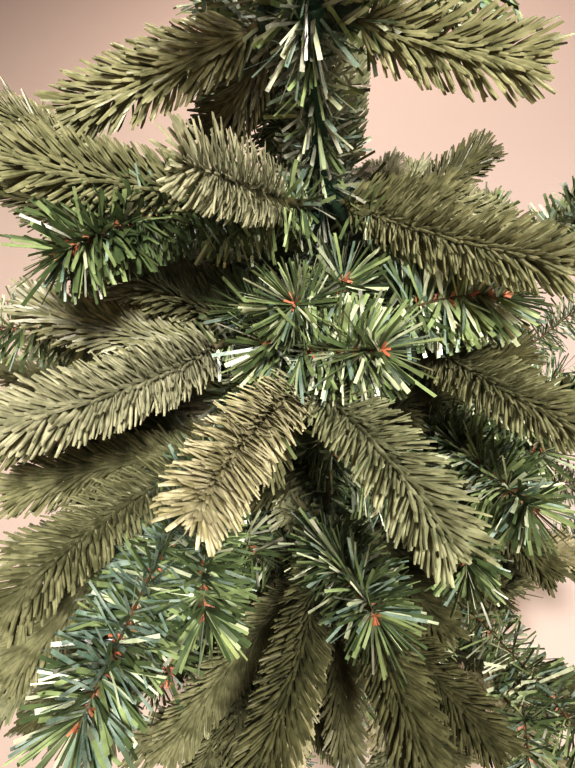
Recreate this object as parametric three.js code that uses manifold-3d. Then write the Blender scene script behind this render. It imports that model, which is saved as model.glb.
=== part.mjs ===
// An artificial christmas tree, 155 cm tall, on a plain four-legged steel stand.
// Millimetres, +Z up. The origin lies on the pole's axis, on the floor.
// A steel pole runs from the stand to the tip. Forty-seven boughs in eight whorls stand round it,
// and a leader on top. Each bough is one stem with twigs, and each twig carries one spray of needles:
// a moulded spray is broad and flat, a film spray is narrower and rounder.

import * as THREE from "three";
import { mergeVertices } from "three/addons/utils/BufferGeometryUtils.js";
import Module from "manifold-3d";

const wasm = await Module();
wasm.setup();

const CLEARANCE = 0.3;

// The tree
const TREE_HEIGHT = 1550;
const MOULDED = "moulded";
const FILM = "film";

// The pole: a stout lower stretch, a sleeve where the sections meet, and a slim top
const POLE_RADIUS = 16;
const POLE_SLEEVE = { height: 780, length: 46, radius: 18.5 };
const POLE_UPPER_RADIUS = 11;
const POLE_TOP_RADIUS = 6;
const POLE_TOP = 1376;
const COLLAR_DEPTH = 5;
const COLLAR_HEIGHT = 14;
const POLE_SIDES = 12;

// Colours of the painted steel, the bare steel and the rubber
const GREEN_STEEL = 0x2d4a34;
const BARE_STEEL = 0x9a9c9e;
const BLACK_RUBBER = 0x1c1d1e;

// The stand: a cup that holds the pole, four bent legs with rubber feet, and one screw
const HUB_HEIGHT = 150;
const HUB_FLOOR = 5;
const HUB_WALL = 3.2;
const HUB_FLANGE = { radius: 34, height: 4 };
const LEG_COUNT = 4;
const LEG_REACH = 224;
const LEG_TOP = 128;
const LEG_SHOULDER = 58;
const LEG_KNEE = 42;
const LEG_DEPTH = 19;
const LEG_WIDTH = 16;
const LEG_ROUND = 8;
const FOOT_HEIGHT = 14;
const FOOT_LENGTH = 34;
const FOOT_WIDTH = 26;
const SCREW = { height: 96, length: 26, shank: 3, grip: 11, gripDepth: 9, round: 2, sides: 12 };

// A whorl's height on the pole, the reach and rise of its boughs, how many sprays each bough
// has, and the bearing of every bough in degrees (0 is +X, -90 is the front, -Y)
const WHORLS = [
  { height: 1358, reach: 138, rise: 8, sprays: 3, bearings: [-174, 143, 100, 48, -24] },
  { height: 1237, reach: 204, rise: 24, sprays: 5, bearings: [-152, -106, -50, 5, 98] },
  { height: 1125, reach: 300, rise: 32, sprays: 7, bearings: [-128, -88, -48, 30, 96, 164] },
  { height: 1000, reach: 385, rise: 31, sprays: 8, bearings: [-125, -87, -46, 12, 82, 148, -170] },
  { height: 860, reach: 440, rise: 29, sprays: 8, bearings: [-138, -87, -36, 25, 88, 151] },
  { height: 705, reach: 495, rise: 24, sprays: 8, bearings: [-112, -60, -6, 38, 95, 170] },
  { height: 540, reach: 545, rise: 18, sprays: 9, bearings: [-140, -83, -28, 30, 90, 150] },
  { height: 370, reach: 575, rise: 11, sprays: 9, bearings: [-112, -55, 2, 60, 120, 178] },
];

// Sprays whose place is known, as seen from their whorl's centre on the pole: whorl, bough,
// bearing, rise, reach to the spray's end, its length, kind. A bough's first row is its end spray.
const KNOWN_SPRAYS = [
  [1, 1, -173, -12, 143, 120, MOULDED],
  [1, 2, 162, -49, 119, 96, MOULDED],
  [1, 5, -26, -2, 115, 98, MOULDED],
  [2, 1, -155, 34, 209, 150, MOULDED],
  [2, 1, -142, 23, 202, 130, FILM],
  [2, 2, -117, 47, 187, 100, MOULDED],
  [2, 3, -49, 22, 192, 150, MOULDED],
  [2, 4, 5, -30, 195, 140, MOULDED],
  [3, 1, -126, 38, 318, 150, MOULDED],
  [3, 1, -136, 26, 300, 150, MOULDED],
  [3, 2, -102, 39, 333, 140, MOULDED],
  [3, 2, -80, 32, 313, 140, MOULDED],
  [3, 2, -99, 52, 201, 120, FILM],
  [3, 2, -77, 44, 223, 95, FILM],
  [3, 3, -56, 27, 258, 140, MOULDED],
  [3, 3, -35, 34, 184, 95, FILM],
  [3, 4, 37, 9, 194, 130, MOULDED],
  [4, 1, -120, 40, 418, 160, MOULDED],
  [4, 1, -112, 33, 430, 150, FILM],
  [4, 1, -124, 26, 405, 150, MOULDED],
  [4, 1, -106, 31, 345, 120, FILM],
  [4, 1, -139, 32, 346, 150, MOULDED],
  [4, 2, -99, 26, 398, 150, MOULDED],
  [4, 2, -86, 34, 342, 120, FILM],
  [4, 2, -101, 32, 300, 100, FILM],
  [4, 2, -84, 26, 392, 150, MOULDED],
  [4, 3, -59, 31, 300, 120, FILM],
  [4, 3, -24, 34, 213, 110, MOULDED],
  [5, 1, -130, 36, 452, 160, MOULDED],
  [5, 1, -126, 25, 462, 160, MOULDED],
  [5, 2, -98, 32, 424, 160, MOULDED],
  [5, 2, -75, 34, 438, 160, MOULDED],
  [5, 2, -112, 26, 427, 160, MOULDED],
  [5, 3, -34, 36, 293, 120, FILM],
  [5, 3, -53, 27, 332, 150, MOULDED],
  [6, 1, -112, 24, 495, 188, MOULDED],
  [6, 1, -92, 24, 407, 180, MOULDED],
];

// Gaps between the boughs, as lines of sight from one place in front of the crown. A line has a
// bearing and a rise from that place, and half the gap's width in degrees.
const EYE = new THREE.Vector3(0, -300, 1535);
const SIGHT_LENGTH = 1700;
const OPEN_SIGHTS = [
  [115, -29, 4], [108, -28, 2.3], [109, -37, 1.4], [118, -32, 1], [101, -41, 1.5],
  [84, -38, 2.1], [78, -39, 1.8], [69, -40, 2.2], [63, -42, 2.4], [63, -37, 2.3],
  [54, -53, 2.3], [37, -64, 1.8], [11, -72, 1.5],
];

// No ruled spray stands between that place and a known spray, at these shares of the known
// spray's length, up to this share of the way to it
const SHOWN_SHARES = [0.35, 0.65, 0.95];
const SHOWN_DEPTH = 0.92;

// The leader: an upright stem with one end spray and a ring of short side sprays
const LEADER_SIDE_SPRAYS = 5;
const LEADER_SIDE_REACH = 96;
const LEADER_SIDE_RISE = 34;
const LEADER_STEM_SHARE = 0.36;
const LEADER_FIRST_BEARING = 20;
const LEADER_STEP = 7;

// Sprays and stems. Sprays and lifts grow towards the lowest whorl. The room round a spray that
// other masses keep out of is a share of its half width, plus a gap.
const SPRAY = {
  moulded: { halfWidth: 25, keel: 16, colour: 0x6d7a48 },
  film: { halfWidth: 22, keel: 24, colour: 0x2f6b3d },
};
const SPRAY_LENGTH = 150;
const LOW_SPRAY_GROWTH = 1.4;
const LOW_LIFT_GROWTH = 1.9;
const SMALLEST_SIZE = 0.8;
const SPRAY_CORE = 2.2;
const STEM_ROOT_RADIUS = 4.2;
const STEM_END_RADIUS = 2.6;
const STEM_STEPS = 3;
const SPRAY_GAP = 1.5;
const SPRAY_ROOM = 0.88;

// How a bough's own sprays leave its stem, pair by pair from the outside in. `leave` is a share
// of the stem, `turn` and the lifts are degrees, `length` is a share of the usual length. `play`
// is how far the stream may move a value, and each further try moves it more and shortens the spray.
const LEAVE = { first: 0.97, step: 0.23, play: 0.1, least: 0.2 };
const TURN = { first: 28, step: 9, play: 10, more: 5 };
const LIFTS = [-20, 10, 34, -4, 22];
const LIFT = { play: 24, more: 8 };
const LENGTH = { least: 0.88, play: 0.2, shrink: 0.05 };
const SPRAY_TRIES = 9;
const SEED = 20;

const UP = new THREE.Vector3(0, 0, 1);

// A stream of even numbers from 0 to 1 that is the same on every run
function evenStream(seed) {
  let state = seed;
  return () => {
    state = (state * 1664525 + 1013904223) % 4294967296;
    return state / 4294967296;
  };
}

function radians(degrees) {
  return (degrees * Math.PI) / 180;
}

// The point that lies `reach` away from a whorl's centre, at a bearing and a rise in degrees
function polar(height, bearing, rise, reach) {
  const level = reach * Math.cos(radians(rise));
  return new THREE.Vector3(
    level * Math.cos(radians(bearing)),
    level * Math.sin(radians(bearing)),
    height + reach * Math.sin(radians(rise)),
  );
}

// The pole's radius at a height, without its collars
function poleRadius(height) {
  if (height < POLE_SLEEVE.height) return POLE_RADIUS;
  const share = (height - POLE_SLEEVE.height) / (POLE_TOP - POLE_SLEEVE.height);
  return POLE_UPPER_RADIUS + share * (POLE_TOP_RADIUS - POLE_UPPER_RADIUS);
}

function collarRadius(height) {
  return poleRadius(height) + COLLAR_DEPTH;
}

// A closed solid round a row of stations, made by moving the rings of a cylinder of few sides.
// A station has a centre, the directions along and across it, and its half width and depth.
function ringSolid(stations, sides, pointed) {
  const steps = stations.length - 1;
  const geometry = new THREE.CylinderGeometry(pointed ? 0 : 1, 1, steps, sides, steps);
  const places = geometry.attributes.position;
  for (let index = 0; index < places.count; index += 1) {
    const station = stations[Math.round(places.getY(index) + steps / 2)];
    const depthways = new THREE.Vector3().crossVectors(station.across, station.along);
    const place = station.centre.clone()
      .addScaledVector(station.across, places.getX(index) * station.halfWidth)
      .addScaledVector(depthways, places.getZ(index) * station.depth);
    places.setXYZ(index, place.x, place.y, place.z);
  }
  return toSolid(geometry);
}

// A three.js geometry as a solid that can be joined
function toSolid(geometry) {
  const bare = geometry.index ? geometry.clone() : geometry;
  bare.deleteAttribute("normal");
  bare.deleteAttribute("uv");
  const merged = mergeVertices(bare, 1e-4);
  return new wasm.Manifold(new wasm.Mesh({
    numProp: 3,
    vertProperties: new Float32Array(merged.attributes.position.array),
    triVerts: new Uint32Array(merged.index.array),
  }));
}

// The solid's largest body as a three.js geometry, with sealed hollows left out
function toGeometry(solid) {
  const bodies = solid.decompose().filter((body) => body.volume() > 0);
  const body = bodies.sort((a, b) => b.volume() - a.volume())[0];
  const mesh = body.getMesh();
  const geometry = new THREE.BufferGeometry();
  geometry.setAttribute("position", new THREE.BufferAttribute(new Float32Array(mesh.vertProperties), 3));
  geometry.setIndex(new THREE.BufferAttribute(new Uint32Array(mesh.triVerts), 1));
  geometry.computeVertexNormals();
  return geometry;
}

// The shortest distance between two straight stretches
function stretchDistance(a, b) {
  const u = new THREE.Vector3().subVectors(a.end, a.root);
  const v = new THREE.Vector3().subVectors(b.end, b.root);
  const w = new THREE.Vector3().subVectors(a.root, b.root);
  const uu = u.dot(u);
  const uv = u.dot(v);
  const vv = v.dot(v);
  const uw = u.dot(w);
  const vw = v.dot(w);
  const spread = uu * vv - uv * uv;
  let s = spread > 1e-9 ? (uv * vw - vv * uw) / spread : 0;
  s = Math.min(1, Math.max(0, s));
  let t = (uv * s + vw) / vv;
  t = Math.min(1, Math.max(0, t));
  s = Math.min(1, Math.max(0, (uv * t - uw) / uu));
  return w.addScaledVector(u, s).addScaledVector(v, -t).length();
}

// A bough's line leaves the collar at its own bearing, bends up, and ends where its end spray ends
function makeLine(height, bearing, endBearing, rise, reach) {
  const root = polar(height, bearing, 0, collarRadius(height) + CLEARANCE);
  const end = polar(height, endBearing, rise, reach);
  const bend = polar(height, bearing, 0, 0.4 * reach * Math.cos(radians(rise)));
  bend.z = root.z + 0.25 * (end.z - root.z);
  return new THREE.QuadraticBezierCurve3(root, bend, end);
}

// A value that is 1 in the top whorl and grows evenly to `most` in the lowest
function grownBelow(whorl, most) {
  const share = (WHORLS[0].height - whorl.height) / (WHORLS[0].height - WHORLS.at(-1).height);
  return 1 + (most - 1) * share;
}

// The sprays' usual length in a whorl: longer in the broad lower whorls, shorter at the top
function usualLength(whorl) {
  return SPRAY_LENGTH * grownBelow(whorl, LOW_SPRAY_GROWTH);
}

// Every bough with its line, its stem's share of that line, and its known sprays
function planBoughs() {
  const boughs = [];
  WHORLS.forEach((whorl, level) => {
    whorl.bearings.forEach((bearing, place) => {
      const known = KNOWN_SPRAYS.filter((row) => row[0] === level + 1 && row[1] === place + 1);
      const usual = usualLength(whorl);
      const ruled = [bearing, whorl.rise, whorl.reach, Math.min(usual, 0.8 * whorl.reach),
        (level + place) % 3 ? MOULDED : FILM];
      const [endBearing, endRise, endReach, endLength, kind] = known.length ? known[0].slice(2) : ruled;
      const line = makeLine(whorl.height, bearing, endBearing, endRise, endReach);
      boughs.push({
        name: `bough_${level + 1}_${place + 1}`,
        whorl, place, line, kind,
        length: Math.min(usual, 0.8 * endReach),
        stemShare: 1 - (0.94 * endLength) / endReach,
        known: known.slice(1),
        isShown: known.length > 0,
        sprays: [],
      });
    });
  });
  return boughs;
}

// The straight stretches of a bough's stem, thick enough to keep sprays of other boughs off it
function stemStretches(bough) {
  const points = [];
  for (let step = 0; step <= STEM_STEPS; step += 1) {
    points.push(bough.line.getPoint((bough.stemShare * step) / STEM_STEPS));
  }
  return points.slice(1).map((end, index) => ({ root: points[index], end, radius: STEM_ROOT_RADIUS }));
}

// A spray between two points. Its width follows the usual length on its bough.
function makeSpray(bough, root, end, kind) {
  const size = Math.max(SMALLEST_SIZE, bough.length / SPRAY_LENGTH);
  return { root, end, kind, size, radius: SPRAY[kind].halfWidth * size * SPRAY_ROOM };
}

// A spray from a place on the stem towards an end point
function sprayTo(bough, share, end, kind) {
  return makeSpray(bough, bough.line.getPoint(share), end, kind);
}

// A spray that turns off the stem by an angle to the side and an angle upwards
function sprayOff(bough, share, turn, lift, length, kind) {
  const root = bough.line.getPoint(share);
  const along = bough.line.getTangent(share);
  along.applyAxisAngle(UP, radians(turn));
  const level = Math.hypot(along.x, along.y);
  const rise = Math.atan2(along.z, level) + radians(lift);
  const end = root.clone().add(new THREE.Vector3(
    (along.x / level) * Math.cos(rise) * length,
    (along.y / level) * Math.cos(rise) * length,
    Math.sin(rise) * length,
  ));
  return makeSpray(bough, root, end, kind);
}

// Where on the stem a known spray leaves it: where the way to its end is nearest its own length
function leavingShare(bough, end, length) {
  let best = bough.stemShare;
  let bestMiss = Infinity;
  for (let share = 0.2 * bough.stemShare; share < bough.stemShare; share += 0.02) {
    const miss = Math.abs(bough.line.getPoint(share).distanceTo(end) - length);
    if (miss < bestMiss) {
      bestMiss = miss;
      best = share;
    }
  }
  return best;
}

// A spray is free when it keeps off the pole and off every spray and stem of the other masses
const POLE_STRETCH = {
  root: new THREE.Vector3(0, 0, 0),
  end: new THREE.Vector3(0, 0, TREE_HEIGHT),
  radius: POLE_SLEEVE.radius,
};

function isFree(spray, mass, masses) {
  if (stretchDistance(spray, POLE_STRETCH) < POLE_STRETCH.radius + 2 * SPRAY_CORE) return false;
  return masses.every((other) => other === mass || [...other.sprays, ...other.stretches].every(
    (solid) => stretchDistance(spray, solid) > spray.radius + solid.radius + SPRAY_GAP,
  ));
}

// Whether a spray crosses one of the gaps between the boughs
function blocksSight(spray) {
  const middle = spray.root.clone().lerp(spray.end, 0.5);
  return OPEN_SIGHTS.some(([bearing, rise, halfWidth]) => {
    const end = polar(0, bearing, rise, SIGHT_LENGTH).add(EYE);
    const room = spray.radius + middle.distanceTo(EYE) * Math.tan(radians(halfWidth));
    return stretchDistance(spray, { root: EYE, end }) < room;
  });
}

// Whether a spray stands between the eye's place and a spray whose own place is known
function hidesKnown(spray, shown) {
  return shown.some((known) => SHOWN_SHARES.some((share) => {
    const end = EYE.clone().lerp(known.root.clone().lerp(known.end, share), SHOWN_DEPTH);
    return stretchDistance(spray, { root: EYE, end }) < spray.radius + known.radius / 2;
  }));
}

// The sprays of every bough. End sprays come first, then known ones, then the rule's own:
// pairs that leave the stem further and further in, each turned out and tilted by the stream.
function growSprays(boughs, leader) {
  const masses = [...boughs, leader];
  masses.forEach((mass) => {
    mass.stretches = stemStretches(mass);
  });
  boughs.forEach((bough) => {
    bough.sprays.push(sprayTo(bough, bough.stemShare, bough.line.getPoint(1), bough.kind));
  });
  boughs.forEach((bough) => {
    bough.known.forEach(([, , bearing, rise, reach, length, kind]) => {
      const end = polar(bough.whorl.height, bearing, rise, reach);
      const spray = sprayTo(bough, leavingShare(bough, end, length), end, kind);
      if (isFree(spray, bough, masses)) bough.sprays.push(spray);
    });
  });
  const shown = boughs.filter((bough) => bough.isShown).flatMap((bough) => [...bough.sprays]);
  boughs.forEach((bough, order) => {
    const even = evenStream(SEED * (order + 1));
    for (let number = bough.sprays.length; number < bough.whorl.sprays; number += 1) {
      const side = number % 2 ? 1 : -1;
      const pair = Math.floor((number - 1) / 2);
      const kind = (number + bough.place) % 2 ? FILM : MOULDED;
      for (let attempt = 0; attempt < SPRAY_TRIES; attempt += 1) {
        const leave = Math.max(LEAVE.least, LEAVE.first - LEAVE.step * pair - LEAVE.play * even());
        const share = bough.stemShare * leave;
        const turn = side * (TURN.first + TURN.step * pair + (TURN.play + TURN.more * attempt) * even());
        const lift = LIFTS[number % LIFTS.length] * grownBelow(bough.whorl, LOW_LIFT_GROWTH)
          + (even() - 0.5) * (LIFT.play + LIFT.more * attempt);
        const shrink = 1 - LENGTH.shrink * attempt;
        const length = bough.length * shrink * (LENGTH.least + LENGTH.play * even());
        const spray = sprayOff(bough, share, turn, lift, length, kind);
        if (isFree(spray, bough, masses) && !blocksSight(spray) && !hidesKnown(spray, shown)) {
          bough.sprays.push(spray);
          break;
        }
      }
    }
  });
}

// The leader's stem and sprays: a ring of side sprays below the upright end spray
function planLeader() {
  const line = new THREE.LineCurve3(
    new THREE.Vector3(0, 0, POLE_TOP + CLEARANCE),
    new THREE.Vector3(0, 0, TREE_HEIGHT),
  );
  const leader = {
    name: "leader", line, length: LEADER_SIDE_REACH, stemShare: LEADER_STEM_SHARE, sprays: [], kind: MOULDED,
  };
  leader.sprays.push(sprayTo(leader, leader.stemShare, line.getPoint(1), MOULDED));
  for (let number = 0; number < LEADER_SIDE_SPRAYS; number += 1) {
    const bearing = LEADER_FIRST_BEARING + (360 / LEADER_SIDE_SPRAYS) * number;
    const height = POLE_TOP + LEADER_STEP * (3 + (number % 3));
    const end = polar(height, bearing, LEADER_SIDE_RISE, LEADER_SIDE_REACH);
    leader.sprays.push(makeSpray(leader, new THREE.Vector3(0, 0, height), end, number % 2 ? FILM : MOULDED));
  }
  return leader;
}

// The stem: its root face is upright, square to the pole, and stays clear of the collar
function stemSolid(bough) {
  const stations = [];
  for (let step = 0; step <= STEM_STEPS; step += 1) {
    const share = (bough.stemShare * step) / STEM_STEPS;
    const along = bough.line.getTangent(share);
    if (step === 0 && Math.abs(along.z) < 0.9) along.setZ(0).normalize();
    const sideways = Math.abs(along.z) > 0.9 ? new THREE.Vector3(1, 0, 0) : UP;
    const radius = THREE.MathUtils.lerp(STEM_ROOT_RADIUS, STEM_END_RADIUS, step / STEM_STEPS);
    stations.push({
      centre: bough.line.getPoint(share),
      along,
      across: new THREE.Vector3().crossVectors(sideways, along).normalize(),
      halfWidth: radius,
      depth: radius,
    });
  }
  return ringSolid(stations, 4, false);
}

// A spray: a blade that widens from a slim root, with two pairs of teeth that point forward,
// flat above and keeled below. Each station is [share of the length, share of the half width].
const SPRAY_OUTLINE = [[0, 0], [0.3, 0.95], [0.35, 0.64], [0.88, 1], [1, 0]];

function spraySolid(spray) {
  const form = SPRAY[spray.kind];
  const along = new THREE.Vector3().subVectors(spray.end, spray.root).normalize();
  const upright = Math.abs(along.z) > 0.9 ? new THREE.Vector3(0, 1, 0) : UP;
  const across = new THREE.Vector3().crossVectors(upright, along).normalize();
  const stations = SPRAY_OUTLINE.map(([share, width]) => ({
    centre: spray.root.clone().lerp(spray.end, share),
    along,
    across,
    halfWidth: (SPRAY_CORE + width * (form.halfWidth * spray.size - SPRAY_CORE)) / Math.sin(radians(60)),
    depth: SPRAY_CORE + width * (form.keel * spray.size - SPRAY_CORE),
  }));
  return ringSolid(stations, 3, true);
}

function material(colour, roughness, metalness) {
  return new THREE.MeshStandardMaterial({ color: colour, roughness, metalness });
}

function named(name, geometry, look) {
  const mesh = new THREE.Mesh(geometry, look);
  mesh.name = name;
  return mesh;
}

function boughMesh(bough) {
  let solid = stemSolid(bough);
  bough.sprays.forEach((spray) => {
    solid = solid.add(spraySolid(spray));
  });
  return named(bough.name, toGeometry(solid), material(SPRAY[bough.kind].colour, 0.6, 0));
}

// The pole: one turned profile with a collar under every whorl's bough roots
function makePole() {
  const foot = HUB_FLOOR + CLEARANCE;
  const profile = [[0, foot], [POLE_RADIUS, foot]];
  const steps = WHORLS.map((whorl) => ({ height: whorl.height, collar: true }));
  steps.push({ height: POLE_SLEEVE.height, collar: false });
  steps.sort((a, b) => a.height - b.height);
  steps.forEach(({ height, collar }) => {
    const half = collar ? COLLAR_HEIGHT / 2 : POLE_SLEEVE.length / 2;
    const radius = collar ? collarRadius(height) : POLE_SLEEVE.radius;
    profile.push([poleRadius(height - half), height - half], [radius, height - half]);
    profile.push([radius, height + half], [poleRadius(height + half), height + half]);
  });
  profile.push([POLE_TOP_RADIUS, POLE_TOP], [0, POLE_TOP]);
  const points = profile.map(([radius, height]) => new THREE.Vector2(radius, height));
  const geometry = new THREE.LatheGeometry(points, POLE_SIDES);
  geometry.rotateX(Math.PI / 2);
  return named("trunk_pole", geometry, material(GREEN_STEEL, 0.5, 0.4));
}

// The stand's hub: a cup with a flat floor, a wall and a flange at its foot
function makeHub() {
  const inner = POLE_RADIUS + CLEARANCE;
  const outer = inner + HUB_WALL;
  const profile = [
    [0, 0], [HUB_FLANGE.radius, 0], [HUB_FLANGE.radius, HUB_FLANGE.height],
    [outer, HUB_FLANGE.height], [outer, HUB_HEIGHT], [inner, HUB_HEIGHT], [inner, HUB_FLOOR], [0, HUB_FLOOR],
  ];
  const points = profile.map(([radius, height]) => new THREE.Vector2(radius, height));
  const geometry = new THREE.LatheGeometry(points, POLE_SIDES);
  geometry.rotateX(Math.PI / 2);
  return named("stand_hub", geometry, material(GREEN_STEEL, 0.5, 0.4));
}

// The line that runs beside a bent line, `away` from it, with its corners kept
function lineBeside(points, away) {
  const ways = points.slice(1).map((point, index) => point.clone().sub(points[index]).normalize());
  return points.map((point, index) => {
    const into = ways[Math.max(0, index - 1)];
    const out = ways[Math.min(ways.length - 1, index)];
    const normal = new THREE.Vector2(-into.y - out.y, into.x + out.x);
    return point.clone().addScaledVector(normal, away / (1 + into.dot(out)));
  });
}

// The point on the way from a corner to its neighbour where the corner's rounding ends
function besideCorner(corner, neighbour, round) {
  return corner.clone().lerp(neighbour, round / corner.distanceTo(neighbour));
}

// One leg, cut as a bent bar: level at the hub, sloping down, then upright over its foot
function makeLeg() {
  const inner = POLE_RADIUS + CLEARANCE + HUB_WALL + CLEARANCE;
  const middle = LEG_TOP - LEG_DEPTH / 2;
  const bends = [
    new THREE.Vector2(inner, middle),
    new THREE.Vector2(LEG_SHOULDER, middle),
    new THREE.Vector2(LEG_REACH, LEG_KNEE),
    new THREE.Vector2(LEG_REACH, FOOT_HEIGHT + CLEARANCE),
  ];
  const above = lineBeside(bends, LEG_DEPTH / 2);
  const below = lineBeside(bends, -LEG_DEPTH / 2).reverse();
  const outline = new THREE.Shape();
  outline.moveTo(above[0].x, above[0].y);
  [above, below].forEach((side) => {
    outline.lineTo(side[0].x, side[0].y);
    for (let corner = 1; corner < side.length - 1; corner += 1) {
      const start = besideCorner(side[corner], side[corner - 1], LEG_ROUND);
      const end = besideCorner(side[corner], side[corner + 1], LEG_ROUND);
      outline.lineTo(start.x, start.y);
      outline.quadraticCurveTo(side[corner].x, side[corner].y, end.x, end.y);
    }
    outline.lineTo(side.at(-1).x, side.at(-1).y);
  });
  const options = { depth: LEG_WIDTH, bevelEnabled: false, curveSegments: 3 };
  const geometry = new THREE.ExtrudeGeometry(outline, options);
  geometry.translate(0, 0, -LEG_WIDTH / 2);
  geometry.rotateX(Math.PI / 2);
  return geometry;
}

// One rubber foot: a block with rounded ends, flat below, under the leg's upright end
function makeFoot() {
  const half = FOOT_WIDTH / 2;
  const straight = (FOOT_LENGTH - FOOT_WIDTH) / 2;
  const outline = new THREE.Shape();
  outline.absarc(LEG_REACH + straight, 0, half, -Math.PI / 2, Math.PI / 2);
  outline.absarc(LEG_REACH - straight, 0, half, Math.PI / 2, (3 * Math.PI) / 2);
  outline.closePath();
  const options = { depth: FOOT_HEIGHT, bevelEnabled: false, curveSegments: 8 };
  return new THREE.ExtrudeGeometry(outline, options);
}

// The screw that holds the pole in the hub: a shank and a round grip, seated on the hub's wall
function makeScrew() {
  const start = POLE_RADIUS + CLEARANCE + HUB_WALL + CLEARANCE;
  const gripStart = SCREW.length - SCREW.gripDepth;
  const profile = [
    [0, 0], [SCREW.shank, 0], [SCREW.shank, gripStart], [SCREW.grip - SCREW.round, gripStart],
    [SCREW.grip, gripStart + SCREW.round], [SCREW.grip, SCREW.length - SCREW.round],
    [SCREW.grip - SCREW.round, SCREW.length], [0, SCREW.length],
  ];
  const points = profile.map(([radius, along]) => new THREE.Vector2(radius, along));
  const geometry = new THREE.LatheGeometry(points, SCREW.sides);
  geometry.rotateZ(-Math.PI / 2);
  geometry.translate(start, 0, 0);
  return named("stand_screw", geometry, material(BARE_STEEL, 0.35, 1));
}

const tree = new THREE.Group();
tree.add(makePole(), makeHub());

for (let number = 0; number < LEG_COUNT; number += 1) {
  const turned = new THREE.Group();
  turned.rotation.z = Math.PI / LEG_COUNT + (2 * Math.PI * number) / LEG_COUNT;
  turned.add(
    named(`stand_leg_${number + 1}`, makeLeg(), material(GREEN_STEEL, 0.5, 0.4)),
    named(`stand_foot_${number + 1}`, makeFoot(), material(BLACK_RUBBER, 0.8, 0)),
  );
  tree.add(turned);
}

const screw = makeScrew();
screw.position.z = SCREW.height;
screw.rotation.z = Math.PI / 2;
tree.add(screw);

const leader = planLeader();
const boughs = planBoughs();
growSprays(boughs, leader);
tree.add(boughMesh(leader));
boughs.forEach((bough) => tree.add(boughMesh(bough)));

export default tree;
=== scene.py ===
# %% [markdown]
# # An artificial christmas tree
# The real tree is a steel pole in a four-legged stand, with eight whorls of wire boughs hooked
# round it. Two kinds of tips are wound onto each bough: tips moulded from polyethylene, which
# are olive and look grown, and tips of cut PVC film held in twisted wire, which are a deep green.
# The CAD frame holds each bough as one slim solid with a toothed blade for each tip. This
# script grows the same boughs by the same rule and dresses every tip in its needles.

# %% Load the frame
from math import atan2, ceil, cos, hypot, inf, radians, sin, tan

import bpy
import numpy as np
from mathutils import Matrix, Vector


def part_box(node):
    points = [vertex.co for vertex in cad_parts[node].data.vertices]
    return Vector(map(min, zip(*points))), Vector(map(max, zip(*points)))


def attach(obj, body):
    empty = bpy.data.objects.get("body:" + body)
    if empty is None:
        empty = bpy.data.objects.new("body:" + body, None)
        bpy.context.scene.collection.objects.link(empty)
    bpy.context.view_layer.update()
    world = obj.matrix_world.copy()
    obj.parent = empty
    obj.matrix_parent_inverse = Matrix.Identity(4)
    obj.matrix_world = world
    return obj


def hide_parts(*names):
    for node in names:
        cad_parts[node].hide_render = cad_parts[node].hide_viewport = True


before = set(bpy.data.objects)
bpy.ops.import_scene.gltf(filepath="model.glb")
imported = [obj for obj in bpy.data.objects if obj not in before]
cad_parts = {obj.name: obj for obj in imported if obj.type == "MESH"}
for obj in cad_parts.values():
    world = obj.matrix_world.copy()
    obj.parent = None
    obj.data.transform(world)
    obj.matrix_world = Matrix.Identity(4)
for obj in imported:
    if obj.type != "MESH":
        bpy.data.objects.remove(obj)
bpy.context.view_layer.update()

MM = 0.001
MASSES = sorted(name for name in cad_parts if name.startswith(("bough_", "leader")))
print(len(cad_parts), "solids,", len(MASSES), "of them foliage")

# %% [markdown]
# ## The camera
# The photograph looks down on the crown from close in front of its upper half. Two things give
# the camera away: the pole's line, which runs to the point straight below the camera, and the
# whorls, which shrink towards that point. The lens is that of a phone's main camera.

# %% Camera
CAMERA_PLACE = (0.0, -0.300, 1.535)
CAMERA_FALL = 62.7
CAMERA_HEADING = 9.9
CAMERA_ROLL = -12.5
LENS_MM = 27.05
SENSOR_MM = 36.0
NEAREST = 0.02

view_camera = bpy.data.cameras.new("view_camera")
view_camera.lens = LENS_MM
view_camera.sensor_width = SENSOR_MM
view_camera.clip_start = NEAREST
camera = bpy.data.objects.new("view_camera", view_camera)
bpy.context.scene.collection.objects.link(camera)
turn = Matrix.Rotation(radians(CAMERA_HEADING), 4, "Z")
turn = turn @ Matrix.Rotation(radians(90 - CAMERA_FALL), 4, "X")
turn = turn @ Matrix.Rotation(radians(CAMERA_ROLL), 4, "Z")
camera.matrix_world = Matrix.Translation(CAMERA_PLACE) @ turn
bpy.context.scene.camera = camera
print("camera at", CAMERA_PLACE, "looks down by", CAMERA_FALL, "degrees")

# %% [markdown]
# ## Materials
# Every finish starts from what the real material is. Base colours are written as sRGB hex, the
# way a picture shows them, and one function turns them into the linear values that light needs.
# One small function adds a node with its settings and links.
#
# The finishes are built alike. The colour wanders between two tints in broad patches, and a
# finer relief catches the light. They differ in the scale of both, in roughness and in IOR.

# %% Colour and node helpers
def linear(hex_colour):
    """An sRGB colour such as 0x6d7a48 as linear red, green, blue and full alpha."""
    channels = [((hex_colour >> shift) & 255) / 255 for shift in (16, 8, 0)]
    return [c / 12.92 if c <= 0.04045 else ((c + 0.055) / 1.055) ** 2.4 for c in channels] + [1.0]


def add(tree, kind, settings=None, links=None):
    """Adds a node. Settings are the values of its own inputs; links are what feeds the others."""
    node = tree.nodes.new("ShaderNode" + kind)
    for key, value in (settings or {}).items():
        node.inputs[key].default_value = value
    for key, source in (links or {}).items():
        tree.links.new(source, node.inputs[key])
    return node


def start_material(name):
    material = bpy.data.materials.new(name)
    material.use_nodes = True
    material.node_tree.nodes.clear()
    return material, material.node_tree


def finish_material(tree, shader):
    add(tree, "OutputMaterial", links={"Surface": shader.outputs["BSDF"]})


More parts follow.
